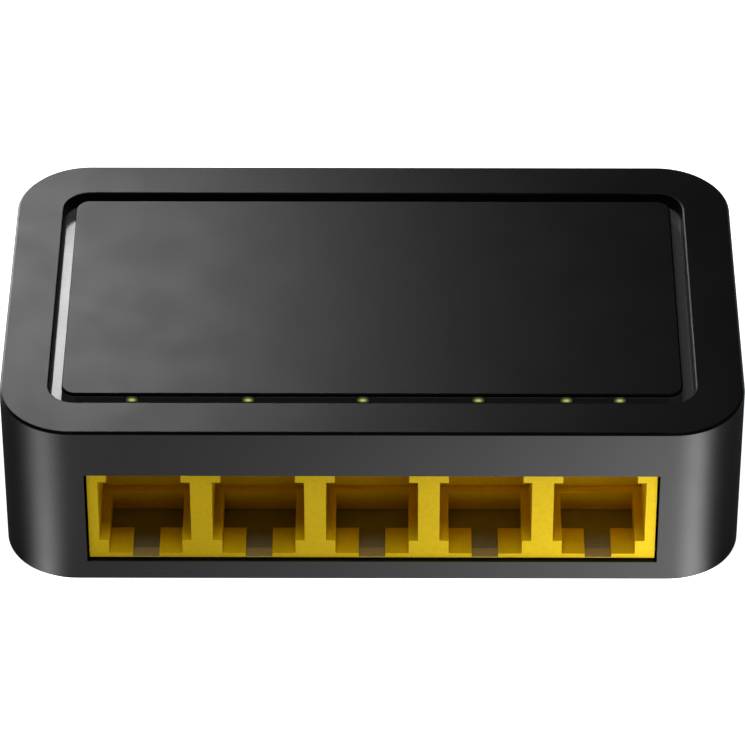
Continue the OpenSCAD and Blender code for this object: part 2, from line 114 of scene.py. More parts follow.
class SwitchCaseSettings(bpy.types.PropertyGroup):
    """Sizes and colours of the case, its groove and its centre panel"""

    corner_radius: length("Corner radius", "Radius of the case's corners from above", 9.5)
    wall: length("Wall", "Thickness of the side walls", 1.8)
    top_plate: length("Top plate", "Thickness of the top plate", 2.2)
    rim_bevel: length("Rim bevel", "Bevel of the case's upper rim", 0.3)
    groove_bevel: length("Groove bevel", "Bevel of the edges along the groove", 0.18)
    foot_radius: length("Lower edge radius", "Rounding of the walls' lower edge", 0.12)
    window_radius: length("Window edge radius", "Rounding of the window's edges", 0.12)
    groove: length("Groove width", "Width of the groove round the panel", 1.67)
    groove_radius: length("Groove corner radius", "Outer radius of the groove's corners", 3.5)
    panel_edge: length("Panel edge", "Height of the panel's visible edge", 0.5)
    tray_flange: length("Tray flange", "How far the tray reaches under the top plate", 3.3)
    tray_plate: length("Tray plate", "Thickness of the tray's flange", 1.6)
    tray_lip: length("Tray lip", "Height of the bevelled lip along the groove's outer wall", 0.2)
    housing_black: tint("Case black", "Colour of the case", (0.0016, 0.0016, 0.0017))
    panel_black: tint("Panel black", "Colour of the centre panel", (0.0016, 0.0016, 0.0017))
    smoked: tint("Smoked tray", "Colour of the glossy tray", (0.090, 0.088, 0.086))
    grain: length("Grain", "Size of the moulded texture", 0.30)
    grain_depth: length("Grain depth", "Depth of the moulded texture", 0.012)


class SwitchPortSettings(bpy.types.PropertyGroup):
    """Sizes and colours of the sockets and their wires"""

    edge_radius: length("Edge radius", "Rounding of the sockets' edges", 0.13)
    wire: length("Wire", "Diameter of a contact wire", 0.31)
    wire_pitch: length("Wire pitch", "Distance between neighbouring wires", 1.02)
    yellow: tint("Socket yellow", "Colour of the socket housing", (0.80, 0.54, 0.006))
    floor: tint("Socket floor", "Colour of the thin floor under each latch", (0.36, 0.27, 0.10))
    gold: tint("Contact gold", "Colour of the contact wires", (0.95, 0.66, 0.24))


class SwitchBoardSettings(bpy.types.PropertyGroup):
    """Colours of the circuit board and of what stands on it"""

    mask: tint("Board mask", "Colour of the board's coating", (0.20, 0.175, 0.105))
    track: tint("Track", "Colour where copper runs under the coating", (0.25, 0.215, 0.13))
    sleeve: tint("Capacitor sleeve", "Colour of the capacitors' sleeves", (0.012, 0.02, 0.09))
    lamp: tint("Lamp glow", "Colour of the lit lamps", (0.60, 0.70, 0.19))
    lamp_power: share("Lamp power", "Brightness of the lit lamps", 1.0, 20.0)


class SwitchStageSettings(bpy.types.PropertyGroup):
    """The floor, the lights and the camera"""

    floor_glow: share("Floor glow", "Light that the floor gives off by itself", 0.97, 5.0)
    key_power: share("Key light", "Power of the softbox behind the left side", 0.10, 100.0)
    fill_power: share("Fill light", "Power of the softbox beside the key light", 0.04, 100.0)
    low_power: share("Low light", "Power of the low softbox that draws the left edges", 0.19, 100.0)
    top_power: share("Top light", "Power of the light overhead", 0.3, 100.0)
    front_power: share("Front light", "Power of the light high in front", 1.0, 100.0)
    lens: share("Lens", "Focal length in millimetres", 236.6, 1000.0)


SETTINGS = {
    "switch_case": SwitchCaseSettings,
    "switch_ports": SwitchPortSettings,
    "switch_board": SwitchBoardSettings,
    "switch_stage": SwitchStageSettings,
}


def settings(name):
    """One group of settings of the current scene."""
    return getattr(bpy.context.scene, name)


def mm(value):
    """A length setting in millimetres."""
    return value / MM


# ---- materials ----


def new_material(name):
    """An empty node material: returns it, its tree and its main shader."""
    material = bpy.data.materials.new(name)
    material.use_nodes = True
    tree = material.node_tree
    shader = next(n for n in tree.nodes if n.type == "BSDF_PRINCIPLED")
    return material, tree, shader


def link(tree, source, target):
    """Joins an output socket to an input socket."""
    tree.links.new(source, target)


def noise(tree, size_mm, detail=2.0, stretch=(1, 1, 1)):
    """Noise whose features are about size_mm across, read in object coordinates."""
    place = tree.nodes.new("ShaderNodeTexCoord")
    mapping = tree.nodes.new("ShaderNodeMapping")
    mapping.inputs["Scale"].default_value = [1 / (size_mm * MM) * s for s in stretch]
    texture = tree.nodes.new("ShaderNodeTexNoise")
    texture.inputs["Scale"].default_value = 1.0
    texture.inputs["Detail"].default_value = detail
    link(tree, place.outputs["Object"], mapping.inputs["Vector"])
    link(tree, mapping.outputs["Vector"], texture.inputs["Vector"])
    return texture.outputs["Fac"]


def ramp(tree, factor, stops):
    """Colour ramp from (position, colour) stops."""
    node = tree.nodes.new("ShaderNodeValToRGB")
    elements = node.color_ramp.elements
    while len(elements) < len(stops):
        elements.new(0.5)
    for element, (position, colour) in zip(elements, stops):
        element.position = position
        element.color = (*colour, 1.0)
    link(tree, factor, node.inputs["Fac"])
    return node.outputs["Color"]


def spread(tree, factor, low, high, lower=0.3, upper=0.7):
    """Maps a texture's middle range onto low to high."""
    node = tree.nodes.new("ShaderNodeMapRange")
    node.inputs["From Min"].default_value = lower
    node.inputs["From Max"].default_value = upper
    node.inputs["To Min"].default_value = low
    node.inputs["To Max"].default_value = high
    link(tree, factor, node.inputs["Value"])
    return node.outputs["Result"]


def bumps(tree, height, depth_mm, strength=1.0, after=None):
    """Bump of the given depth, on top of an earlier one."""
    node = tree.nodes.new("ShaderNodeBump")
    node.inputs["Strength"].default_value = strength
    node.inputs["Distance"].default_value = depth_mm * MM
    link(tree, height, node.inputs["Height"])
    if after is not None:
        link(tree, after, node.inputs["Normal"])
    return node.outputs["Normal"]


def shade(colour, factor):
    """A colour made lighter or darker."""
    return tuple(min(1.0, c * factor) for c in colour)


def plastic(name, colour, roughness, grain=0.3, depth=0.01, mottle=0.12, vary=0.04, sheen=0.5,
            gloss_tint=(1, 1, 1)):
    """Moulded plastic: fine grain, faint mottling and slightly uneven gloss."""
    material, tree, shader = new_material(name)
    fine = noise(tree, grain, 3.0)
    broad = noise(tree, grain * 22, 2.0)
    link(tree, ramp(tree, fine, [(0.3, shade(colour, 1 - mottle)), (0.7, shade(colour, 1 + mottle))]),
         shader.inputs["Base Color"])
    link(tree, spread(tree, broad, roughness - vary, roughness + vary), shader.inputs["Roughness"])
    link(tree, bumps(tree, fine, depth), shader.inputs["Normal"])
    shader.inputs["Specular IOR Level"].default_value = sheen
    shader.inputs["Specular Tint"].default_value = (*gloss_tint, 1)
    return material


def metal(name, colour, roughness, scratch=0.15, depth=0.003):
    """Plated or rolled metal with fine drawn lines."""
    material, tree, shader = new_material(name)
    lines = noise(tree, scratch, 3.0, (1, 1, 0.15))
    dull = noise(tree, scratch * 12, 2.0)
    link(tree, ramp(tree, dull, [(0.3, shade(colour, 0.8)), (0.7, shade(colour, 1.08))]),
         shader.inputs["Base Color"])
    link(tree, spread(tree, lines, roughness * 0.75, roughness * 1.3), shader.inputs["Roughness"])
    link(tree, bumps(tree, lines, depth), shader.inputs["Normal"])
    shader.inputs["Metallic"].default_value = 1.0
    return material


def satin_wall(name, colour):
    """Smooth moulded wall with a soft sheen."""
    return plastic(name, colour, 0.30, grain=0.12, depth=0.0012, mottle=0.06, vary=0.02, sheen=0.35)


def smoked_gloss(name, colour):
    """Polished smoked plastic with a trace of orange peel."""
    return plastic(name, colour, 0.17, grain=0.5, depth=0.0008, mottle=0.10, vary=0.02)


def lamp_lens(name, smoked, glow, power):
    """Smoked lens, lit from behind: brightest low down in the middle of each tip."""
    material, tree, shader = new_material(name)
    link(tree, ramp(tree, noise(tree, 0.4), [(0.3, shade(smoked, 0.9)), (0.7, shade(smoked, 1.1))]),
         shader.inputs["Base Color"])
    link(tree, spread(tree, noise(tree, 1.5), 0.14, 0.20), shader.inputs["Roughness"])
    place = tree.nodes.new("ShaderNodeUVMap")
    place.uv_map = "lamp_place"
    parts = tree.nodes.new("ShaderNodeSeparateXYZ")
    link(tree, place.outputs["UV"], parts.inputs["Vector"])
    across = tree.nodes.new("ShaderNodeMath")
    across.operation = "ABSOLUTE"
    link(tree, parts.outputs["X"], across.inputs[0])
    side = ramp(tree, across.outputs[0], [(0.0, (1,) * 3), (0.25, (0.80,) * 3), (0.50, (0.30,) * 3),
                                          (0.72, (0.07,) * 3), (0.9, (0,) * 3)])
    rise = ramp(tree, parts.outputs["Y"], [(0.20, (0.0,) * 3), (0.36, (0.55,) * 3), (0.52, (1.0,) * 3),
                                           (0.66, (0.80,) * 3), (0.84, (0.28,) * 3), (1.0, (0.12,) * 3)])
    both = tree.nodes.new("ShaderNodeMath")
    both.operation = "MULTIPLY"
    link(tree, side, both.inputs[0])
    link(tree, rise, both.inputs[1])
    strength = spread(tree, both.outputs[0], 0.0, power, 0.0, 1.0)
    link(tree, ramp(tree, both.outputs[0], [(0.0, shade(glow, 0.5)), (1.0, glow)]),
         shader.inputs["Emission Color"])
    link(tree, strength, shader.inputs["Emission Strength"])
    return material


def board_mask(name, mask, track):
    """Solder mask with tracks showing faintly through it."""
    material, tree, shader = new_material(name)
    place = tree.nodes.new("ShaderNodeTexCoord")
    bricks = tree.nodes.new("ShaderNodeTexBrick")
    bricks.offset = 0.37
    bricks.inputs["Scale"].default_value = 1.0
    bricks.inputs["Brick Width"].default_value = 5.2 * MM
    bricks.inputs["Row Height"].default_value = 0.55 * MM
    bricks.inputs["Mortar Size"].default_value = 0.12 * MM
    bricks.inputs["Mortar Smooth"].default_value = 0.3
    bricks.inputs["Color1"].default_value = (*track, 1)
    bricks.inputs["Color2"].default_value = (*shade(track, 0.94), 1)
    bricks.inputs["Mortar"].default_value = (*mask, 1)
    link(tree, place.outputs["Object"], bricks.inputs["Vector"])
    patches = tree.nodes.new("ShaderNodeMix")
    patches.data_type = "RGBA"
    link(tree, spread(tree, noise(tree, 9.0), 0.0, 1.0, 0.48, 0.52), patches.inputs["Factor"])
    patches.inputs["A"].default_value = (*mask, 1)
    link(tree, bricks.outputs["Color"], patches.inputs["B"])
    link(tree, patches.outputs["Result"], shader.inputs["Base Color"])
    link(tree, spread(tree, noise(tree, 0.6), 0.36, 0.46), shader.inputs["Roughness"])
    link(tree, bumps(tree, bricks.outputs["Fac"], 0.02, 0.5), shader.inputs["Normal"])
    return material


def clear_plastic(name):
    """Clear moulded light guide."""
    material, tree, shader = new_material(name)
    haze = noise(tree, 0.8)
    link(tree, ramp(tree, haze, [(0.3, (0.80, 0.84, 0.80)), (0.7, (0.90, 0.93, 0.90))]),
         shader.inputs["Base Color"])
    link(tree, spread(tree, haze, 0.05, 0.12), shader.inputs["Roughness"])
    shader.inputs["Transmission Weight"].default_value = 0.85
    shader.inputs["IOR"].default_value = 1.49
    return material


FINISHES = {}


def make_finishes():
    """Every finish of the object, by the name that the pieces ask for."""
    case, ports, board = settings("switch_case"), settings("switch_ports"), settings("switch_board")
    grain, depth = mm(case.grain), mm(case.grain_depth)
    black, panel = tuple(case.housing_black), tuple(case.panel_black)
    smoked = tuple(case.smoked)
    FINISHES.update({
        "textured top": plastic("textured top", black, 0.39, grain, depth, 0.25, 0.02),
        "satin wall": satin_wall("satin wall", black),
        "textured panel": plastic("textured panel", panel, 0.39, grain, depth, 0.25, 0.02),
        "smoked tray": smoked_gloss("smoked tray", smoked),
        "lamp lens": lamp_lens("lamp lens", smoked, tuple(board.lamp), board.lamp_power),
        "clear guide": clear_plastic("clear guide"),
        "socket yellow": plastic("socket yellow", tuple(ports.yellow), 0.40, 0.5, 0.003, 0.05, 0.03, 0.35,
                                 (1.0, 0.72, 0.04)),
        "socket floor": plastic("socket floor", tuple(ports.floor), 0.45, 0.5, 0.003, 0.08),
        "contact gold": metal("contact gold", tuple(ports.gold), 0.25),
        "board mask": board_mask("board mask", tuple(board.mask), tuple(board.track)),
        "base black": plastic("base black", (0.012, 0.012, 0.0125), 0.48, 0.35, 0.014, 0.2, 0.03),
        "foot rubber": plastic("foot rubber", (0.022, 0.022, 0.023), 0.72, 0.2, 0.01, 0.2, 0.05, 0.35),
        "screw steel": metal("screw steel", (0.50, 0.50, 0.52), 0.28),
        "lamp package": plastic("lamp package", (0.80, 0.80, 0.70), 0.4, 0.2, 0.002, 0.04),
        "chip black": plastic("chip black", (0.014, 0.014, 0.015), 0.5, 0.12, 0.004, 0.2),
        "solder tin": metal("solder tin", (0.72, 0.72, 0.74), 0.3),
        "can metal": metal("can metal", (0.66, 0.66, 0.68), 0.25, 0.3),
        "ferrite grey": plastic("ferrite grey", (0.045, 0.045, 0.048), 0.6, 0.15, 0.008, 0.25),
        "sleeve blue": plastic("sleeve blue", tuple(board.sleeve), 0.3, 0.8, 0.003, 0.1),
        "fuse green": plastic("fuse green", (0.03, 0.10, 0.04), 0.45, 0.3, 0.004, 0.15),
        "ceramic tan": plastic("ceramic tan", (0.32, 0.22, 0.13), 0.5, 0.2, 0.003, 0.12),
        "resistor black": plastic("resistor black", (0.012, 0.012, 0.013), 0.35, 0.2, 0.002, 0.2),
        "inlet black": plastic("inlet black", (0.013, 0.013, 0.0135), 0.40, 0.2, 0.004, 0.15),
        "contact nickel": metal("contact nickel", (0.70, 0.68, 0.64), 0.2),
    })


def finish(name):
    """A finish by name; the finishes are made on first use."""
    if not FINISHES:
        make_finishes()
    return FINISHES[name]


# ---- meshes ----


def link_mesh(name, mesh):
    """An object for a mesh, in the scene."""
    obj = bpy.data.objects.new(name, mesh)
    bpy.context.scene.collection.objects.link(obj)
    return obj


def smooth_mesh(mesh, angle=32.0):
    """Smooth shading with sharp edges where faces meet at more than the angle."""
    mesh.polygons.foreach_set("use_smooth", [True] * len(mesh.polygons))
    mesh.set_sharp_from_angle(angle=math.radians(angle))


def settled_mesh(obj):
    """The mesh of an object after its modifiers, which are then cleared."""
    bpy.context.view_layer.update()
    mesh = bpy.data.meshes.new_from_object(obj.evaluated_get(bpy.context.evaluated_depsgraph_get()))
    obj.modifiers.clear()
    return mesh


def even_normals(obj):
    """Lets large flat faces keep their own direction where they run into a rounding."""
    rule = obj.modifiers.new("even", "WEIGHTED_NORMAL")
    rule.mode, rule.keep_sharp, rule.weight = "FACE_AREA", True, 50
    rough, obj.data = obj.data, settled_mesh(obj)
    bpy.data.meshes.remove(rough)
    obj.data.name = obj.name


def place_piece(obj, body, slot, nodes, finishes):
    """Gives a piece its finishes and its body, and hides the nodes that it stands for; its slot is not
    used.
    """
    if finishes:
        obj.data.materials.clear()
        for name in finishes:
            obj.data.materials.append(finish(name))
    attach(obj, body)
    if nodes:
        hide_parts(*nodes)
    return obj


class Shell:
    """Points and faces of one piece, in millimetres, with a finish number for each face."""

    def __init__(self):
        self.points, self.faces, self.finish = [], [], []

    def add(self, points, faces, finish=0):
        """Adds points and faces that count from the first new point."""
        start = len(self.points)
        self.points += [tuple(p) for p in points]
        self.faces += [[start + i for i in face] for face in faces]
        self.finish += list(finish) if isinstance(finish, (list, tuple)) else [finish] * len(faces)

    def loft(self, rings, closed=False, finish=0, skip=None):
        """Joins rings of equal length. Rings are walked anticlockwise, so that going up faces outwards."""
        count = len(rings[0])
        start = len(self.points)
        self.points += [tuple(p) for ring in rings for p in ring]
        last = len(rings) if closed else len(rings) - 1
        for i in range(last):
            a, b = start + i * count, start + (i + 1) % len(rings) * count
            for j in range(count):
                if skip and skip(i, j):
                    continue
                k = (j + 1) % count
                self.faces.append([a + j, a + k, b + k, b + j])
                self.finish.append(finish(i, j) if callable(finish) else finish)
        return start

    def cap(self, ring, up, finish=0):
        """One flat face over a ring."""
        order = list(range(len(ring)))
        self.add(ring, [order if up else order[::-1]], finish)

    def block(self, low, high, finish=0):
        """A plain block with sharp edges."""
        (x0, y0, z0), (x1, y1, z1) = low, high
        points = [(x, y, z) for z in (z0, z1) for x, y in ((x0, y0), (x1, y0), (x1, y1), (x0, y1))]
        faces = [(3, 2, 1, 0), (4, 5, 6, 7), (0, 1, 5, 4), (1, 2, 6, 5), (2, 3, 7, 6), (3, 0, 4, 7)]
        self.add(points, faces, finish)

    def turned(self, profile, centre, sides=32, finish=0, turn=None):
        """A solid of revolution from (radius, height) pairs that start and end on the axis."""
        angles = np.arange(sides) * 2 * math.pi / sides
        spin = turn or Matrix.Identity(3)

        def at(r, z, a):
            return tuple(spin @ Vector((r * math.cos(a), r * math.sin(a), z)) + Vector(centre))

        rings = [[at(r, z, a) for a in angles] for r, z in profile[1:-1]]
        start = self.loft(rings, finish=finish)
        low, high = len(self.points), len(self.points) + 1
        self.points += [at(0, profile[0][1], 0), at(0, profile[-1][1], 0)]
        top = start + (len(rings) - 1) * sides
        for j in range(sides):
            k = (j + 1) % sides
            self.faces += [[low, start + k, start + j], [high, top + j, top + k]]
            self.finish += [finish, finish]

    def loose(self, name, shape=None):
        """The object by itself, in metres; shape may change its edges."""
        mesh = bpy.data.meshes.new(name)
        mesh.from_pydata((np.array(self.points, float) * MM).tolist(), [], self.faces)
        mesh.polygons.foreach_set("material_index", self.finish)
        work = bmesh.new()
        work.from_mesh(mesh)
        bmesh.ops.remove_doubles(work, verts=work.verts, dist=1e-7)
        if shape:
            shape(work)
        work.to_mesh(mesh)
        work.free()
        return link_mesh(name, mesh)

    def piece(self, name, body, slot, nodes, finishes, shape=None):
        """The object as a finished piece."""
        obj = self.loose(name, shape)
        smooth_mesh(obj.data)
        even_normals(obj)
        return place_piece(obj, body, slot, nodes, finishes)


def outline(width, depth, radius, middle_y=0.0, front=(), back=(), steps=CORNER_STEPS):
    """Plan of a round-cornered rectangle, anticlockwise from the columns of its front side."""
    half_w, half_d = width / 2 - radius, depth / 2 - radius
    points = [(x, -depth / 2) for x in front]
    for turn, (cx, cy) in enumerate([(half_w, -half_d), (half_w, half_d), (-half_w, half_d),
                                     (-half_w, -half_d)]):
        for k in range(steps + 1):
            a = math.radians(90 * (turn - 1 + k / steps))
            points.append((cx + radius * math.cos(a), cy + radius * math.sin(a)))
        if turn == 1:
            points += [(x, depth / 2) for x in reversed(back)]
    return [(x, y + middle_y) for x, y in points]


def at_height(plan, z):
    """A plan lifted to a height."""
    return [(x, y, z) for x, y in plan]


def rounding(radius, steps=4):
    """(inset, drop) pairs of a rounded edge, from its upright side to its level side."""
    turns = [math.radians(90 * k / steps) for k in range(steps + 1)]
    return [(radius * (1 - math.cos(a)), radius * (1 - math.sin(a))) for a in turns]


def bevelled(size):
    """(inset, drop) pairs of a bevelled edge with softened corners, from its upright side up."""
    soft = 0.2 * size
    return [(0, size + soft), (0.3 * soft, size), (size, 0.3 * soft), (size + soft, 0)]


# ---- the case ----


def housing_shell():
    """Top frame and walls, with the window for the sockets and the cut-out for the inlet."""
    case = settings("switch_case")
    wall, top_t = mm(case.wall), mm(case.top_plate)
    corner, rim, foot = mm(case.corner_radius), mm(case.rim_bevel), mm(case.foot_radius)
    opening_w = PANEL_W + 2 * mm(case.groove)
    opening_d = PANEL_D + 2 * mm(case.groove)
    gap = 0.28
    inlet_gap = 0.2
    window_x = (JACK_HIGH[0] - JACK_LOW[0]) / 2 + gap
    window_z = (BOARD_Z - gap, JACK_HIGH[2] + gap)
    cut_x = (INLET_LOW[0] - inlet_gap, INLET_HIGH[0] + inlet_gap)
    cut_z = (BOARD_Z - inlet_gap, INLET_HIGH[2] + inlet_gap)
    levels = sorted([*window_z, *cut_z])
    front = [-window_x, *np.linspace(-window_x, window_x, 9)[1:-1], window_x]
    back = [cut_x[0], cut_x[1]]
    shell = Shell()
    rings, kinds = [], []

    def ring(width, depth, radius, z, middle=0.0, kind="wall"):
        rings.append(at_height(outline(width, depth, radius, middle, front, back), z))
        kinds.append(kind)

    def outer(inset, z, kind="wall"):
        ring(CASE_W - 2 * inset, CASE_D - 2 * inset, corner - inset, z, 0.0, kind)

    def opening(grow, z, kind="top"):
        ring(opening_w + 2 * grow, opening_d + 2 * grow, mm(case.groove_radius) + grow, z, OPENING_Y, kind)

    for inset, drop in reversed(rounding(foot, 4)):
        outer(inset, WALL_Z + drop)
    outer_at = {}
    for z in levels:
        outer_at[z] = len(rings)
        outer(0, z)
    for inset, drop in bevelled(rim):
        outer(inset, TOP_Z - drop, "wall" if drop > rim * 0.6 else "top")
    for grow, drop in reversed(bevelled(mm(case.groove_bevel))):
        opening(grow, TOP_Z - drop)
    opening(0, TOP_Z - top_t, "wall")
    inner = (CASE_W - 2 * wall, CASE_D - 2 * wall, corner - wall)
    ring(*inner, TOP_Z - top_t)
    inner_at = {}
    for z in reversed(levels):
        inner_at[z] = len(rings)
        ring(*inner, z)
    ring(*inner, WALL_Z)

    count = len(rings[0])
    front_columns = range(0, len(front) - 1)
    turn_points = len(front) + 2 * (CORNER_STEPS + 1)
    back_columns = range(turn_points, turn_points + 1)
    holes = [(front_columns, window_z), (back_columns, cut_z)]
    gone = set()
    for columns, (low, high) in holes:
        for first, last in ((outer_at[low], outer_at[high]), (inner_at[high], inner_at[low])):
            gone |= {(i, j) for i in range(first, last) for j in columns}

    def face_finish(i, _):
        return 0 if kinds[i] == "top" else 1

    start = shell.loft(rings, True, face_finish, lambda i, j: (i, j) in gone)

    def at(level, column):
        return start + level * count + column % count

    def add_face(*corners):
        shell.faces.append(list(corners))
        shell.finish.append(1)

    for columns, (low, high) in holes:
        first, last = columns[0], columns[-1] + 1
        ol, oh, nl, nh = outer_at[low], outer_at[high], inner_at[low], inner_at[high]
        for j in columns:
            add_face(at(ol, j), at(ol, j + 1), at(nl, j + 1), at(nl, j))
            add_face(at(nh, j), at(nh, j + 1), at(oh, j + 1), at(oh, j))
        steps = [z for z in levels if low <= z <= high]
        for z0, z1 in zip(steps, steps[1:]):
            o0, o1, n0, n1 = outer_at[z0], outer_at[z1], inner_at[z0], inner_at[z1]
            add_face(at(o0, first), at(n0, first), at(n1, first), at(o1, first))
            add_face(at(n0, last), at(o0, last), at(o1, last), at(n1, last))

    add_bosses(shell)
    return shell, (window_x, window_z, cut_x, cut_z)


def add_bosses(shell):
    """Screw columns with their ribs, and the stakes that hold the tray."""
    boss_r, hole_r = 2.5, 1.27
    boss_top, hole_top = TRAY_LOW[2] - 0.4, BOARD_Z + 8
    rib_half, rib_reach = 0.9, CASE_W / 2 - 1.7
    stake_x, stake_y, stake_r = 43.96, 11.0, 0.8
    tray_t = mm(settings("switch_case").tray_plate)
    for sx in (-1, 1):
        for sy in (-1, 1):
            shell.turned([(0, hole_top), (hole_r, hole_top), (hole_r, BOARD_Z), (boss_r, BOARD_Z),
                          (boss_r, boss_top - 0.3), (boss_r - 0.3, boss_top), (0, boss_top)],
                         (sx * SCREW_X, sy * SCREW_Y, 0), 32, 1)
            near, far = sx * (SCREW_X + boss_r - 0.1), sx * rib_reach
            shell.block((min(near, far), sy * SCREW_Y - rib_half, BOARD_Z),
                        (max(near, far), sy * SCREW_Y + rib_half, boss_top), 1)
            shell.turned([(0, TRAY_LOW[2] - 0.6), (stake_r - 0.2, TRAY_LOW[2] - 0.6),
                          (stake_r, TRAY_LOW[2] - 0.4), (stake_r, TRAY_LOW[2] + tray_t),
                          (0, TRAY_LOW[2] + tray_t)], (sx * stake_x, sy * stake_y, 0), 24, 1)


def soften_openings(work, sizes, radius):
    """Rounds the outer edges of the window and of the inlet's cut-out."""
    window_x, window_z, cut_x, cut_z = sizes
    spots = [(-CASE_D / 2, (-window_x, window_x), window_z), (CASE_D / 2, cut_x, cut_z)]

    def on_rim(edge):
        for y, xs, zs in spots:
            ends = [v.co / MM for v in edge.verts]
            if all(abs(e.y - y) < 1e-3 for e in ends):
                for axis, (low, high), (o_low, o_high), other in ((0, xs, zs, 2), (2, zs, xs, 0)):
                    for side in (low, high):
                        if all(abs(e[axis] - side) < 1e-3 for e in ends) and all(
                            o_low - 1e-3 < e[other] < o_high + 1e-3 for e in ends
                        ):
                            return True
        return False

    edges = [e for e in work.edges if on_rim(e) and len(e.link_faces) == 2 and e.calc_face_angle(0) > 1]
    bmesh.ops.bevel(work, geom=edges, offset=radius * MM, segments=2, profile=0.5, affect="EDGES",
                    clamp_overlap=True)


def build_housing():
    """The upper housing."""
    case = settings("switch_case")
    shell, sizes = housing_shell()
    return shell.piece(
        "upper_housing_shell", CASE, "housing_black", ["upper_housing"], ["textured top", "satin wall"],
        shape=lambda work: soften_openings(work, sizes, mm(case.window_radius)),
    )


def build_panel():
    """The centre panel: a thin rounded edge over a pocket plate and four pegs."""
    case = settings("switch_case")
    edge, rim = mm(case.panel_edge), mm(case.groove_bevel)
    radius = mm(case.groove_radius) - mm(case.groove)
    low_z = TOP_Z - edge
    shell = Shell()

    def ring(inset, z, rounded=radius):
        return at_height(outline(PANEL_W - 2 * inset, PANEL_D - 2 * inset, max(rounded - inset, 0.3),
                                 OPENING_Y), z)

    plate_inset, plate_r, plate_z = 1.2, 1.9, low_z - 0.4
    chamfer, peg_r, peg_in = 0.08, 1.0, 5.0
    rings = [ring(plate_inset, plate_z, plate_r), ring(plate_inset, low_z, plate_r)]
    rings += [ring(chamfer, low_z), ring(0, low_z + chamfer)]
    rings += [ring(inset, TOP_Z - drop) for inset, drop in bevelled(rim)]
    shell.cap(rings[0], False)
    shell.loft(rings)
    shell.cap(rings[-1], True)
    for sx in (-1, 1):
        for sy in (-1, 1):
            shell.turned([(0, PANEL_LOW[2]), (peg_r - 0.2, PANEL_LOW[2]), (peg_r, PANEL_LOW[2] + 0.2),
                          (peg_r, plate_z), (0, plate_z)],
                         (sx * (PANEL_W / 2 - peg_in), OPENING_Y + sy * (PANEL_D / 2 - peg_in), 0), 24)
    return shell.piece("centre_panel_plate", CASE, "panel_black", ["centre_panel"], ["textured panel"])


def lamp_places():
    """Middles of the six lamps, left to right, from the packed lamps."""
    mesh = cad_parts["status_leds"].data
    xs = sorted({round(v.co.x / MM, 3) for v in mesh.vertices})
    return [(a + b) / 2 for a, b in zip(xs[0::2], xs[1::2])]


def build_tray():
    """The smoked tray: groove floor with a bevelled lip, plateau with six slots for the light guide."""
    case = settings("switch_case")
    flange, plate_t, lip = mm(case.tray_flange), mm(case.tray_plate), mm(case.tray_lip)
    groove_r, groove = mm(case.groove_radius), mm(case.groove)
    floor_z, low_z, high_z = TRAY_LOW[2] + plate_t, TRAY_LOW[2], TRAY_HIGH[2]
    opening_w, opening_d = PANEL_W + 2 * groove, PANEL_D + 2 * groove
    slot_half, pocket_in, pocket_r, pocket_deep = 0.95, 1.1, 0.8, 0.5
    lamps = lamp_places()
    front = [x + s * slot_half for x in lamps for s in (-1, 1)]
    shell = Shell()

    def opening(grow, z):
        return at_height(outline(opening_w + 2 * grow, opening_d + 2 * grow, groove_r + grow,
                                 OPENING_Y, front), z)

    def plateau(inset, z, radius=None):
        r = groove_r - groove - inset if radius is None else radius
        return at_height(outline(PANEL_W - 2 * inset, PANEL_D - 2 * inset, r, OPENING_Y, front), z)

    rings = [opening(flange, low_z), opening(flange, floor_z), opening(0.0, floor_z)]
    rings += [opening(-0.01 - inset, floor_z + drop) for inset, drop in bevelled(lip)]
    foot, proud = 0.18, 0.05
    rings += [plateau(-foot * (1 - math.sin(a)), floor_z + foot * (1 - math.cos(a)))
              for a in [math.radians(90 * k / 4) for k in range(5)]]
    wall_low = len(rings) - 1
    rings += [plateau(inset - proud, high_z - drop) for inset, drop in ((0, 0.1), (0.03, 0.03), (0.1, 0))]
    rings += [plateau(pocket_in, high_z - drop, pocket_r) for drop in (0, pocket_deep)]
    top = len(rings) - 1
    gone = {(i, 2 * k) for i in range(wall_low, top) for k in range(len(lamps))}
    start = shell.loft(rings, skip=lambda i, j: (i, j) in gone)
    shell.cap(rings[top], True)

    # hollow underside
    wall_in, inner_r, inner_top = 1.5, 0.6, high_z - 1.4
    under = [opening(flange, low_z), plateau(wall_in, low_z, inner_r), plateau(wall_in, inner_top, inner_r)]
    shell.loft(under)
    shell.cap(under[-1], False)

    # notches for the six tips, open to the pocket behind
    count = len(rings[0])
    back_y, notch_z = OPENING_Y - PANEL_D / 2 + pocket_in, floor_z + foot
    for k, x in enumerate(lamps):
        left, right = ([start + i * count + 2 * k + side for i in range(wall_low, top + 1)]
                       for side in (0, 1))
        low = len(shell.points)
        shell.points += [(x - slot_half, back_y, notch_z), (x + slot_half, back_y, notch_z)]
        shell.faces += [[left[0], right[0], low + 1, low], [low, low + 1, right[-1], left[-1]],
                        [left[0], low, *reversed(left[1:])], [right[0], *right[1:], low + 1]]
        shell.finish += [0] * 4
    return shell.piece("groove_tray_moulding", CASE, "smoked_gloss", ["groove_tray"], ["smoked tray"])


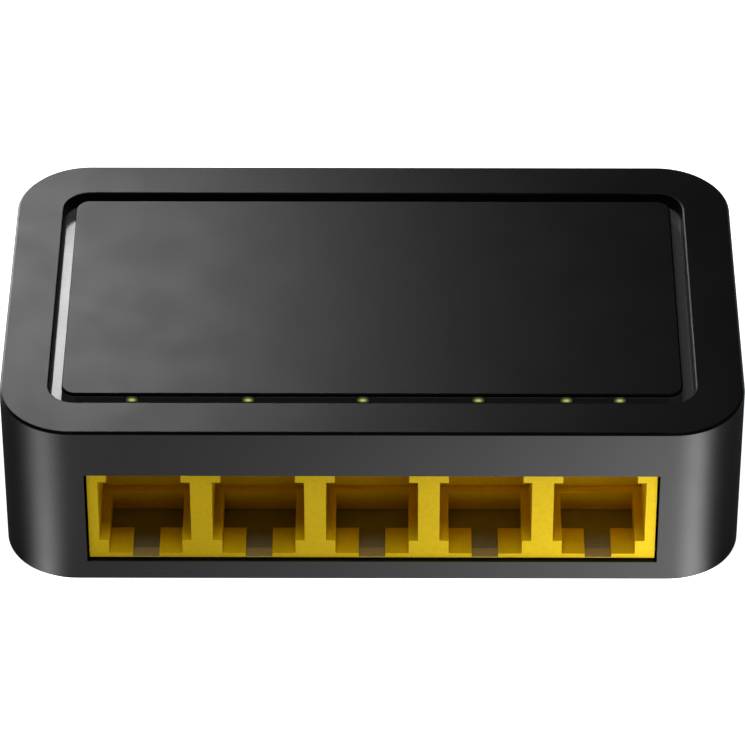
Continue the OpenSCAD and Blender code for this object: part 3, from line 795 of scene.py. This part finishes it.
def build_light_guide():
    """The light guide, with lit tips. A tip's own coordinates run from its middle and up its front."""
    lamps = lamp_places()
    lit_low, lit_high = GUIDE_HIGH[2] - 1.05, GUIDE_HIGH[2]
    obj = softened_copy("light_guide_moulding", ["light_guide"], CASE, "guide_clear",
                        ["clear guide", "lamp lens"], 0.06, 1)
    mesh = obj.data
    work = bmesh.new()
    work.from_mesh(mesh)
    bmesh.ops.bisect_plane(work, geom=[*work.verts, *work.edges, *work.faces], dist=1e-7,
                           plane_co=(0, 0, lit_low * MM), plane_no=(0, 0, 1))
    work.to_mesh(mesh)
    work.free()
    layer = mesh.uv_layers.new(name="lamp_place")
    for face in mesh.polygons:
        if face.center.z > lit_low * MM:
            face.material_index = 1
        for i in face.loop_indices:
            co = mesh.vertices[mesh.loops[i].vertex_index].co / MM
            near = min(lamps, key=lambda x: abs(x - co.x))
            layer.data[i].uv = (co.x - near, (co.z - lit_low) / (lit_high - lit_low))
    return obj


def softened_copy(name, nodes, body, slot, finishes, width, segments=2, chosen=None):
    """A merged copy of packed nodes whose sharp edges are rounded."""
    work = bmesh.new()
    for node in nodes:
        work.from_mesh(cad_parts[node].data)
    bmesh.ops.remove_doubles(work, verts=work.verts, dist=1e-6)
    bmesh.ops.dissolve_limit(work, angle_limit=math.radians(0.6), verts=work.verts, edges=work.edges)
    sharp = [e for e in work.edges if len(e.link_faces) == 2 and e.calc_face_angle(0) > math.radians(35)]
    if chosen:
        sharp = [e for e in sharp if chosen(e)]
    bmesh.ops.bevel(work, geom=sharp, offset=width * MM, segments=segments, profile=0.5,
                    affect="EDGES", clamp_overlap=True)
    mesh = bpy.data.meshes.new(name)
    work.to_mesh(mesh)
    work.free()
    smooth_mesh(mesh)
    obj = link_mesh(name, mesh)
    even_normals(obj)
    return place_piece(obj, body, slot, nodes, finishes)


# ---- what repeats: geometry nodes ----


def geometry_tree(name, inputs):
    """An empty geometry tree with named inputs: (label, socket type, default)."""
    tree = bpy.data.node_groups.new(name, "GeometryNodeTree")
    face = tree.interface
    face.new_socket("Geometry", in_out="INPUT", socket_type="NodeSocketGeometry")
    for label, kind, value in inputs:
        socket = face.new_socket(label, in_out="INPUT", socket_type=kind)
        if value is not None:
            socket.default_value = value
    face.new_socket("Geometry", in_out="OUTPUT", socket_type="NodeSocketGeometry")
    return tree, tree.nodes.new("NodeGroupInput"), tree.nodes.new("NodeGroupOutput")


def wire_row_tree():
    """Sweeps a round wire along a path and repeats it along X."""
    tree, given, result = geometry_tree("wire row", [
        ("Wires", "NodeSocketInt", 8), ("Pitch", "NodeSocketFloat", 1.02 * MM),
        ("Diameter", "NodeSocketFloat", 0.31 * MM), ("Material", "NodeSocketMaterial", None)])
    add = tree.nodes.new
    path = add("GeometryNodeMeshToCurve")
    half = add("ShaderNodeMath")
    half.operation = "MULTIPLY"
    half.inputs[1].default_value = 0.5
    ring = add("GeometryNodeCurvePrimitiveCircle")
    ring.inputs["Resolution"].default_value = 10
    sweep = add("GeometryNodeCurveToMesh")
    sweep.inputs["Fill Caps"].default_value = True
    gaps = add("ShaderNodeMath")
    gaps.operation = "SUBTRACT"
    gaps.inputs[1].default_value = 1.0
    first = add("ShaderNodeMath")
    first.operation = "MULTIPLY"
    back = add("ShaderNodeMath")
    back.operation = "MULTIPLY"
    back.inputs[1].default_value = -0.5
    start, step = add("ShaderNodeCombineXYZ"), add("ShaderNodeCombineXYZ")
    places = add("GeometryNodeMeshLine")
    copies = add("GeometryNodeInstanceOnPoints")
    real = add("GeometryNodeRealizeInstances")
    smooth = add("GeometryNodeSetShadeSmooth")
    coat = add("GeometryNodeSetMaterial")
    for a, b in [
        (given.outputs["Geometry"], path.inputs[0]),
        (given.outputs["Diameter"], half.inputs[0]),
        (half.outputs[0], ring.inputs["Radius"]),
        (path.outputs[0], sweep.inputs["Curve"]),
        (ring.outputs[0], sweep.inputs["Profile Curve"]),
        (given.outputs["Wires"], gaps.inputs[0]),
        (gaps.outputs[0], first.inputs[0]),
        (given.outputs["Pitch"], first.inputs[1]),
        (first.outputs[0], back.inputs[0]),
        (back.outputs[0], start.inputs["X"]),
        (given.outputs["Pitch"], step.inputs["X"]),
        (given.outputs["Wires"], places.inputs["Count"]),
        (start.outputs[0], places.inputs["Start Location"]),
        (step.outputs[0], places.inputs["Offset"]),
        (places.outputs[0], copies.inputs["Points"]),
        (sweep.outputs[0], copies.inputs["Instance"]),
        (copies.outputs[0], real.inputs[0]),
        (real.outputs[0], smooth.inputs[0]),
        (smooth.outputs[0], coat.inputs[0]),
        (given.outputs["Material"], coat.inputs["Material"]),
        (coat.outputs[0], result.inputs[0]),
    ]:
        link(tree, a, b)
    return tree


def copies_tree():
    """Puts a copy of a shape on every point, turned by the point's own angle."""
    tree, given, result = geometry_tree("copies at points", [
        ("Shape", "NodeSocketObject", None), ("Material", "NodeSocketMaterial", None)])
    add = tree.nodes.new
    shape = add("GeometryNodeObjectInfo")
    turn = add("GeometryNodeInputNamedAttribute")
    turn.data_type = "FLOAT"
    turn.inputs["Name"].default_value = "turn"
    euler = add("ShaderNodeCombineXYZ")
    copies = add("GeometryNodeInstanceOnPoints")
    real = add("GeometryNodeRealizeInstances")
    coat = add("GeometryNodeSetMaterial")
    for a, b in [
        (given.outputs["Shape"], shape.inputs["Object"]),
        (turn.outputs["Attribute"], euler.inputs["Z"]),
        (given.outputs["Geometry"], copies.inputs["Points"]),
        (shape.outputs["Geometry"], copies.inputs["Instance"]),
        (euler.outputs[0], copies.inputs["Rotation"]),
        (copies.outputs[0], real.inputs[0]),
        (real.outputs[0], coat.inputs[0]),
        (given.outputs["Material"], coat.inputs["Material"]),
        (coat.outputs[0], result.inputs[0]),
    ]:
        link(tree, a, b)
    return tree


TREES = {}


def run_tree(maker, seed, values, name):
    """Runs a tree on a seed object and keeps the result as a plain mesh."""
    if maker.__name__ not in TREES:
        TREES[maker.__name__] = maker()
    tree = TREES[maker.__name__]
    sockets = {s.name: s.identifier for s in tree.interface.items_tree if s.in_out == "INPUT"}
    modifier = seed.modifiers.new("rule", "NODES")
    modifier.node_group = tree
    for label, value in values.items():
        modifier[sockets[label]] = value
    mesh = settled_mesh(seed)
    mesh.name = name
    bpy.data.objects.remove(seed)
    if not mesh.polygons:
        raise RuntimeError(f"{name} came out empty")
    return mesh


def path_object(points):
    """A polyline as an edge mesh, in metres."""
    mesh = bpy.data.meshes.new("path")
    mesh.from_pydata([tuple(c * MM for c in p) for p in points],
                     [(i, i + 1) for i in range(len(points) - 1)], [])
    return link_mesh("path", mesh)


def points_object(places):
    """Points with an angle each: (x, y, z, degrees)."""
    mesh = bpy.data.meshes.new("places")
    mesh.from_pydata([(x * MM, y * MM, z * MM) for x, y, z, _ in places], [], [])
    turn = mesh.attributes.new("turn", "FLOAT", "POINT")
    turn.data.foreach_set("value", [math.radians(p[3]) for p in places])
    return link_mesh("places", mesh)


def bent_path(corners, radius, steps=4):
    """A path through corners, each rounded with an arc-like curve."""
    corners = [Vector(c) for c in corners]
    points = [corners[0]]
    for before, here, after in zip(corners, corners[1:], corners[2:]):
        r = min(radius, (here - before).length / 2, (after - here).length / 2)
        a, b = here + (before - here).normalized() * r, here + (after - here).normalized() * r
        for k in range(steps + 1):
            t = k / steps
            points.append(a * (1 - t) ** 2 + here * 2 * t * (1 - t) + b * t ** 2)
    return points + [corners[-1]]


def wire_row(corners, count, pitch, radius, port_x):
    """One row of like wires, moved to its socket."""
    ports = settings("switch_ports")
    mesh = run_tree(wire_row_tree, path_object(bent_path(corners, radius)), {
        "Wires": count, "Pitch": pitch * MM, "Diameter": ports.wire, "Material": finish("contact gold"),
    }, "wire_row")
    mesh.transform(Matrix.Translation((port_x * MM, 0, 0)))
    return mesh


def joined(meshes, name):
    """Several meshes as one."""
    work = bmesh.new()
    for mesh in meshes:
        work.from_mesh(mesh)
        bpy.data.meshes.remove(mesh)
    result = bpy.data.meshes.new(name)
    work.to_mesh(result)
    work.free()
    return result


def build_contacts():
    """The sprung wire ends of each socket: they fall back from their bend and curl at the tip."""
    pitch = mm(settings("switch_ports").wire_pitch)
    for i in PORTS:
        low, high = node_box(f"port_{i}_contacts")
        x = (low[0] + high[0]) / 2
        half = mm(settings("switch_ports").wire) / 2
        top = (low[1] + half, high[2] - half)
        tip = (high[1] - half, low[2] + half)
        run, fall = tip[0] - top[0], tip[1] - top[1]
        corners = [(0, *top), (0, top[0] + run * 0.5, top[1] + fall * 0.46),
                   (0, top[0] + run * 0.93, top[1] + fall * 0.93), (0, *tip)]
        mesh = wire_row(corners, 8, pitch, 2.0, x)
        mesh.name = f"port_{i}_wires_sprung"
        smooth_mesh(mesh, 50)
        place_piece(link_mesh(mesh.name, mesh), f"port_{i}_wires", "contact_gold",
                    [f"port_{i}_contacts"], [])


def build_leads():
    """The fixed part of the wires: over the ceiling of the socket and down through the board."""
    pitch = mm(settings("switch_ports").wire_pitch)
    half = mm(settings("switch_ports").wire) / 2
    bend_z, tail_gap = BOARD_Z + 12.75, 1.2
    for i in PORTS:
        low, high = node_box(f"port_{i}_leads")
        x = (low[0] + high[0]) / 2
        front, top, foot = low[1] + half, high[2] - half, low[2]
        rows = []
        for k, tail in enumerate((high[1] - half - tail_gap, high[1] - half)):
            corners = [(0, front, bend_z), (0, front, top), (0, tail, top), (0, tail, foot)]
            shift = (k - 0.5) * pitch
            rows.append(wire_row(corners, 4, 2 * pitch, 0.5, x + shift))
        mesh = joined(rows, f"port_{i}_wires_fixed")
        mesh.materials.append(finish("contact gold"))
        smooth_mesh(mesh, 50)
        place_piece(link_mesh(mesh.name, mesh), CASE, "contact_gold", [f"port_{i}_leads"],
                    ["contact gold"])


def corner_places(reach_x, reach_y, z, turns):
    """The four corners of a rectangle, each with its own angle."""
    signs = [(-1, -1), (1, -1), (1, 1), (-1, 1)]
    return [(sx * reach_x, sy * reach_y, z, t) for (sx, sy), t in zip(signs, turns)]


def copied_piece(name, master, places, slot, nodes, finish_name):
    """Copies of a master shape, as one piece on the case."""
    mesh = run_tree(copies_tree, points_object(places),
                    {"Shape": master, "Material": finish(finish_name)}, name)
    bpy.data.objects.remove(master)
    smooth_mesh(mesh)
    return place_piece(link_mesh(name, mesh), CASE, slot, nodes, [])


def build_feet():
    """Four rubber feet: domed pads with a shallow ring groove."""
    radius, height = 4.5, FEET_HIGH[2]
    shell = Shell()
    shell.turned([(0, 0.12), (radius * 0.45, 0.12), (radius * 0.5, 0.0), (radius - 0.45, 0.0),
                  (radius - 0.2, 0.05), (radius - 0.06, 0.2), (radius, 0.42), (radius, height),
                  (0, height)], (0, 0, 0), 48)
    places = corner_places(FOOT_X, FOOT_Y, 0.0, (0, 0, 0, 0))
    copied_piece("rubber_feet_pads", shell.loose("foot"), places, "foot_rubber",
                 ["rubber_feet"], "foot rubber")


def build_screws():
    """Four case screws: domed heads with a cross recess, plain shanks."""
    low, high = node_box("case_screws")
    head_r, head_h, dome_h, shank_r = 2.3, 1.2, 0.45, 1.25
    shell = Shell()
    length_z = high[2] - low[2]
    dome = [(head_r * math.sin(a), dome_h * (1 - math.cos(a))) for a in np.radians([30, 50, 68, 80, 90])]
    shell.turned([(0, 0.0), (0.9, 0.0), *dome, (head_r, head_h - 0.1),
                  (head_r - 0.1, head_h), (shank_r, head_h), (shank_r, length_z - 0.5),
                  (shank_r - 0.4, length_z), (0, length_z)], (0, 0, 0), 48)
    master = shell.loose("screw")
    cross = Shell()
    arm, arm_half, recess = 1.3, 0.3, 0.7
    for long_x, long_y in ((arm, arm_half), (arm_half, arm)):
        cross.block((-long_x, -long_y, -0.2), (long_x, long_y, recess))
    cutter = cross.loose("cross")
    cut = master.modifiers.new("cross", "BOOLEAN")
    cut.operation, cut.object, cut.solver, cut.use_self = "DIFFERENCE", cutter, "EXACT", True
    master.data = settled_mesh(master)
    bpy.data.objects.remove(cutter)
    places = corner_places(SCREW_X, SCREW_Y, low[2], (12, 57, 31, 78))
    copied_piece("case_screws_steel", master, places, "screw_steel", ["case_screws"], "screw steel")


# ---- sockets, board and inlet ----


def build_jack():
    """The socket housing: the packed shape with its visible edges rounded."""
    radius = mm(settings("switch_ports").edge_radius)
    face_y, low_z, high_z = JACK_LOW[1], BOARD_Z, JACK_HIGH[2]
    comb_y, floor_y, floor_top, slot_half = face_y + 10.9, face_y + 1.72, low_z + 0.45, 1.72

    def visible(edge):
        ends = [v.co / MM for v in edge.verts]
        long_enough = (ends[0] - ends[1]).length > 0.55
        in_front = all(e.y < comb_y + 0.3 for e in ends)
        above_board = all(e.z > low_z - 0.01 for e in ends)
        near_wires = any(e.z > high_z - 1.3 and e.y > face_y + 1.3 for e in ends)
        comb = all(e.y > comb_y for e in ends)
        return long_enough and in_front and above_board and not near_wires and not comb

    obj = softened_copy("jack_housing_moulding", ["jack_housing"], CASE, "jack_yellow",
                        ["socket yellow", "socket floor"], radius, 2, visible)
    middles = [float(np.mean([c[0] for c in node_box(f"port_{i}_contacts")])) for i in PORTS]
    for face in obj.data.polygons:
        x, y, z = face.center / MM
        if z < floor_top and y < floor_y and min(abs(x - m) for m in middles) < slot_half:
            face.material_index = 1
    return obj


BOARD_PARTS = [
    ("circuit_board", "board_green", "board mask", 0.08),
    ("status_leds", "lamp_lens", "lamp package", 0.06),
    ("switch_chip", "chip_black", "chip black", 0.08),
    ("crystal", "can_metal", "can metal", 0.15),
    ("magnetics_modules", "chip_black", "chip black", 0.15),
    ("memory_chip", "chip_black", "chip black", 0.08),
    ("regulator_chip", "chip_black", "chip black", 0.08),
    ("power_inductor", "ferrite_grey", "ferrite grey", 0.12),
    ("filter_capacitors", "can_metal", "can metal", 0.2),
    ("capacitor_sleeves", "sleeve_blue", "sleeve blue", 0.03),
    ("input_diode", "chip_black", "chip black", 0.1),
    ("input_fuse", "fuse_green", "fuse green", 0.08),
    ("ceramic_capacitors", "ceramic_tan", "ceramic tan", 0.06),
    ("chip_resistors", "resistor_black", "resistor black", 0.05),
    ("dc_jack_terminals", "contact_nickel", "contact nickel", 0.06),
]
PIN_NODES = ["switch_chip_pins", "magnetics_pins", "chip_legs"]


def build_board():
    """The circuit board and every part soldered to it."""
    for node, slot, finish_name, width in BOARD_PARTS:
        softened_copy(f"{node}_finished", [node], CASE, slot, [finish_name], width)
    for node in PIN_NODES:
        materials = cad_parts[node].data.materials
        materials.clear()
        materials.append(finish("solder tin"))


def build_inlet():
    """The power inlet: body, centre pin and sprung leaf."""
    softened_copy("dc_jack_body_finished", ["dc_jack_body"], CASE, "inlet_black", ["inlet black"], 0.18)
    low, high = node_box("dc_jack_pin")
    x, z = (low[0] + high[0]) / 2, (low[2] + high[2]) / 2
    root_r = (high[0] - low[0]) / 2
    root_end = INLET_HIGH[1] - INLET_DEPTH - low[1]
    reach = high[1] - low[1]
    shell = Shell()
    profile = [(0, 0.0), (root_r - 0.1, 0.0), (root_r, 0.1), (root_r, root_end), (PIN_R, root_end)]
    profile += [(PIN_R - inset, reach - drop) for inset, drop in rounding(0.45, 3)] + [(0, reach)]
    spin = Euler((math.radians(-90), 0, 0)).to_matrix()
    shell.turned(profile, (x, low[1], z), 40, 0, spin)
    shell.piece("dc_jack_pin_finished", CASE, "contact_nickel", ["dc_jack_pin"], ["contact nickel"])
    softened_copy("dc_jack_leaf_finished", ["dc_jack_leaf"], "inlet_leaf", "contact_nickel",
                  ["contact nickel"], 0.06)


def build_base():
    """The base plate with its vents."""
    softened_copy("base_plate_finished", ["base_plate"], CASE, "base_black", ["base black"], 0.15)


# ---- stage ----


def soft_light(name, place, aim, size, power, mirrored=True):
    """A rectangular softbox, in millimetres and watts; glossy faces may mirror it or not."""
    data = bpy.data.lights.new(name, "AREA")
    data.shape = "RECTANGLE"
    data.size, data.size_y = size[0] * MM, size[1] * MM
    data.energy = power
    obj = bpy.data.objects.new(name, data)
    obj.visible_glossy = mirrored
    bpy.context.scene.collection.objects.link(obj)
    obj.location = [c * MM for c in place]
    direction = Vector(aim) - Vector(place)
    obj.rotation_euler = direction.to_track_quat("-Z", "Y").to_euler()


# Painted light on the table, seen only in glossy faces as painted reflections. Its glow before the middle
# of the front wall, and how far to the right it grows e times stronger. Each front corner sees a painted
# highlight streak: its strength, and its middle and spread in degrees from the front. The front wall's
# glow fades round the corner to the glow of the side.
MIDDLE_GLOW, GLOW_RISE = 1.27, 48.0
PAINTED_STREAKS = {-1: (4.0, 25.0, 9.5), 1: (6.8, 20.5, 8.5)}
CORNER_FADE, SIDE_GLOW = 14.0, 0.055
FAR_GLOW = 0.45
# Where the glow gives way to the far one: away from the case, and to the back beside it.
GLOW_REACH, GLOW_FADE = 38.0, 40.0
GLOW_BACK, GLOW_BACK_FADE = 12.0, 30.0

# The camera: its place in millimetres, its turn and roll in radians and its tilt in degrees.
CAMERA_PLACE = (2.60, -509.05, 417.35)
CAMERA_TURN, CAMERA_TILT, CAMERA_ROLL = 0.0052, 51.53, -0.0015


def corner_angle(x, y, side, centre, radius):
    """Where on a corner a line of sight must turn to meet a place on the table, in degrees."""
    px, py = side * x - centre[0], y - centre[1]
    turns = np.radians(np.arange(0, 90.5, 1.0))
    wall_x, wall_y = radius * np.sin(turns), -radius * np.cos(turns)
    way_x, way_y = np.sin(2 * turns), -np.cos(2 * turns)
    miss = (px[..., None] - wall_x) * way_y - (py[..., None] - wall_y) * way_x
    ahead = (px[..., None] - wall_x) * way_x + (py[..., None] - wall_y) * way_y > -1.0
    best = np.argmin(np.where(ahead, np.abs(miss), 1e6), axis=-1)
    return np.degrees(turns[best])


def table_glow(x, y):
    """Painted glow of the table at places in millimetres: a painted pool of light before the front wall,
    with a painted highlight streak at each front corner.
    """
    corner = mm(settings("switch_case").corner_radius)
    centre = (CASE_W / 2 - corner, -CASE_D / 2 + corner)
    glow = MIDDLE_GLOW * np.exp(np.clip(x, -centre[0], centre[0]) / GLOW_RISE)
    for side, (strength, middle, width) in PAINTED_STREAKS.items():
        here = x * side > centre[0]
        angle = corner_angle(x[here], y[here], side, centre, corner)
        glow[here] *= np.exp(-(angle / CORNER_FADE) ** 2)
        glow[here] += SIDE_GLOW + strength * np.exp(-((angle - middle) / width) ** 2)
    reach = np.hypot(np.maximum(np.abs(x) - CASE_W / 2, 0), np.maximum(-CASE_D / 2 - y, 0))
    outward = np.clip((reach - GLOW_REACH) / GLOW_FADE, 0, 1)
    backward = np.clip((y - GLOW_BACK) / GLOW_BACK_FADE, 0, 1)
    fade = np.maximum(outward, backward)
    return glow * (1 - fade) + FAR_GLOW * fade


def build_painted_table():
    """What glossy faces see of the table: painted light, an emission pattern that stands in for studio
    light falling on it and shows on the case as painted reflections.
    """
    xs = np.concatenate([[-3000, -600, -250], np.arange(-120, 121, 2.5), [250, 600, 3000]])
    ys = np.concatenate([[-3000, -600, -250], np.arange(-110, 51, 2.5), [250, 600, 3000]])
    gx, gy = np.meshgrid(xs, ys)
    across = len(xs)
    mesh = bpy.data.meshes.new("table_glow")
    mesh.from_pydata([(x * MM, y * MM, 0.0) for x, y in zip(gx.ravel(), gy.ravel())], [],
                     [(i + j * across, i + 1 + j * across, i + 1 + (j + 1) * across, i + (j + 1) * across)
                      for j in range(len(ys) - 1) for i in range(across - 1)])
    values = mesh.attributes.new("glow", "FLOAT", "POINT")
    # painted light: the glow pattern is stored on the card's points and given off as emission
    values.data.foreach_set("value", table_glow(gx, gy).ravel())
    obj = link_mesh("table_glow", mesh)
    obj.visible_camera = obj.visible_shadow = False
    material = bpy.data.materials.new("table glow")
    material.use_nodes = True
    tree = material.node_tree
    tree.nodes.clear()
    attribute = tree.nodes.new("ShaderNodeAttribute")
    attribute.attribute_name = "glow"
    lamp = tree.nodes.new("ShaderNodeEmission")
    out = tree.nodes.new("ShaderNodeOutputMaterial")
    link(tree, attribute.outputs["Fac"], lamp.inputs["Strength"])
    link(tree, lamp.outputs[0], out.inputs["Surface"])
    mesh.materials.append(material)


def build_stage():
    """Floor, lights, surroundings and camera."""
    stage = settings("switch_stage")
    half = 3.0
    mesh = bpy.data.meshes.new("floor")
    mesh.from_pydata([(-half, -half, 0), (half, -half, 0), (half, half, 0), (-half, half, 0)], [],
                     [(0, 1, 2, 3)])
    floor = link_mesh("floor", mesh)
    floor.visible_glossy = floor.visible_diffuse = False
    material, tree, shader = new_material("pale floor")
    link(tree, ramp(tree, noise(tree, 120.0), [(0.3, (0.86,) * 3), (0.7, (0.88,) * 3)]),
         shader.inputs["Base Color"])
    shader.inputs["Roughness"].default_value = 0.9
    shader.inputs["Specular IOR Level"].default_value = 0.1
    shader.inputs["Emission Color"].default_value = (1, 1, 1, 1)
    shader.inputs["Emission Strength"].default_value = stage.floor_glow
    floor.data.materials.append(material)
    build_painted_table()

    soft_light("key_softbox", (-82, 190, 171), (-18, 0, 25), (62, 52), stage.key_power)
    soft_light("fill_softbox", (-40, 190, 185), (-10, 0, 25), (40, 56), stage.fill_power)
    soft_light("low_softbox", (-150, 190, 32), (-20, 0, 25), (150, 44), stage.low_power)
    soft_light("top_softbox", (0, 0, 700), (0, 0, 0), (500, 500), stage.top_power)
    soft_light("front_light", (0, -150, 600), (0, 0, 0), (300, 200), stage.front_power, False)

    world = bpy.data.worlds.new("studio")
    world.use_nodes = True
    tree = world.node_tree
    background = tree.nodes["Background"]
    seen = tree.nodes.new("ShaderNodeLightPath")
    link(tree, ramp(tree, seen.outputs["Is Camera Ray"], [(0.0, (0.012,) * 3), (1.0, (0.80,) * 3)]),
         background.inputs["Color"])
    bpy.context.scene.world = world

    camera = bpy.data.cameras.new("camera")
    camera.lens = stage.lens
    camera.sensor_width = 36.0
    camera.clip_start, camera.clip_end = 0.05, 20.0
    obj = bpy.data.objects.new("camera", camera)
    bpy.context.scene.collection.objects.link(obj)
    obj.location = [c * MM for c in CAMERA_PLACE]
    turn = Matrix.Rotation(CAMERA_TURN, 3, "Z") @ Matrix.Rotation(math.radians(CAMERA_TILT), 3, "X")
    turn = turn @ Matrix.Rotation(CAMERA_ROLL, 3, "Z")
    obj.rotation_euler = turn.to_euler()
    bpy.context.scene.camera = obj
    bpy.context.scene.view_settings.view_transform = "Standard"


# ---- operators and panel ----


class SWITCH_OT_case(bpy.types.Operator):
    """Build the upper housing, the centre panel and the smoked tray"""

    bl_idname = "switch.build_case"
    bl_label = "Case, panel and tray"

    def execute(self, context):
        build_housing()
        build_panel()
        build_tray()
        return {"FINISHED"}


class SWITCH_OT_light_guide(bpy.types.Operator):
    """Build the light guide with its lit tips"""

    bl_idname = "switch.build_light_guide"
    bl_label = "Light guide"

    def execute(self, context):
        build_light_guide()
        return {"FINISHED"}


class SWITCH_OT_base(bpy.types.Operator):
    """Build the base plate, the rubber feet and the case screws"""

    bl_idname = "switch.build_base"
    bl_label = "Base, feet and screws"

    def execute(self, context):
        build_base()
        build_feet()
        build_screws()
        return {"FINISHED"}


class SWITCH_OT_sockets(bpy.types.Operator):
    """Build the socket housing and the wires of every socket"""

    bl_idname = "switch.build_sockets"
    bl_label = "Sockets and wires"

    def execute(self, context):
        build_jack()
        build_contacts()
        build_leads()
        return {"FINISHED"}


class SWITCH_OT_board(bpy.types.Operator):
    """Build the circuit board and the parts soldered to it"""

    bl_idname = "switch.build_board"
    bl_label = "Circuit board"

    def execute(self, context):
        build_board()
        return {"FINISHED"}


class SWITCH_OT_inlet(bpy.types.Operator):
    """Build the power inlet"""

    bl_idname = "switch.build_inlet"
    bl_label = "Power inlet"

    def execute(self, context):
        build_inlet()
        return {"FINISHED"}


class SWITCH_OT_stage(bpy.types.Operator):
    """Set the floor, the lights and the camera"""

    bl_idname = "switch.build_stage"
    bl_label = "Stage"

    def execute(self, context):
        build_stage()
        return {"FINISHED"}


OPERATORS = [SWITCH_OT_case, SWITCH_OT_light_guide, SWITCH_OT_base, SWITCH_OT_sockets, SWITCH_OT_board,
             SWITCH_OT_inlet, SWITCH_OT_stage]


class SWITCH_PT_panel(bpy.types.Panel):
    """Lists the pieces and their settings"""

    bl_idname = "SWITCH_PT_panel"
    bl_label = "Network switch"
    bl_space_type = "VIEW_3D"
    bl_region_type = "UI"
    bl_category = "Network switch"

    def draw(self, context):
        for operator in OPERATORS:
            self.layout.operator(operator.bl_idname)
        for name, group in SETTINGS.items():
            box = self.layout.box()
            box.label(text=group.__doc__)
            for key in group.__annotations__:
                box.prop(getattr(context.scene, name), key)


CLASSES = [*SETTINGS.values(), *OPERATORS, SWITCH_PT_panel]


def register():
    for cls in CLASSES:
        bpy.utils.register_class(cls)
    for name, group in SETTINGS.items():
        setattr(bpy.types.Scene, name, bpy.props.PointerProperty(type=group))


def unregister():
    for name in SETTINGS:
        delattr(bpy.types.Scene, name)
    for cls in reversed(CLASSES):
        bpy.utils.unregister_class(cls)


def main():
    register()
    bpy.ops.switch.build_case()
    bpy.ops.switch.build_light_guide()
    bpy.ops.switch.build_base()
    bpy.ops.switch.build_sockets()
    bpy.ops.switch.build_board()
    bpy.ops.switch.build_inlet()
    bpy.ops.switch.build_stage()


if __name__ == "__main__":
    main()
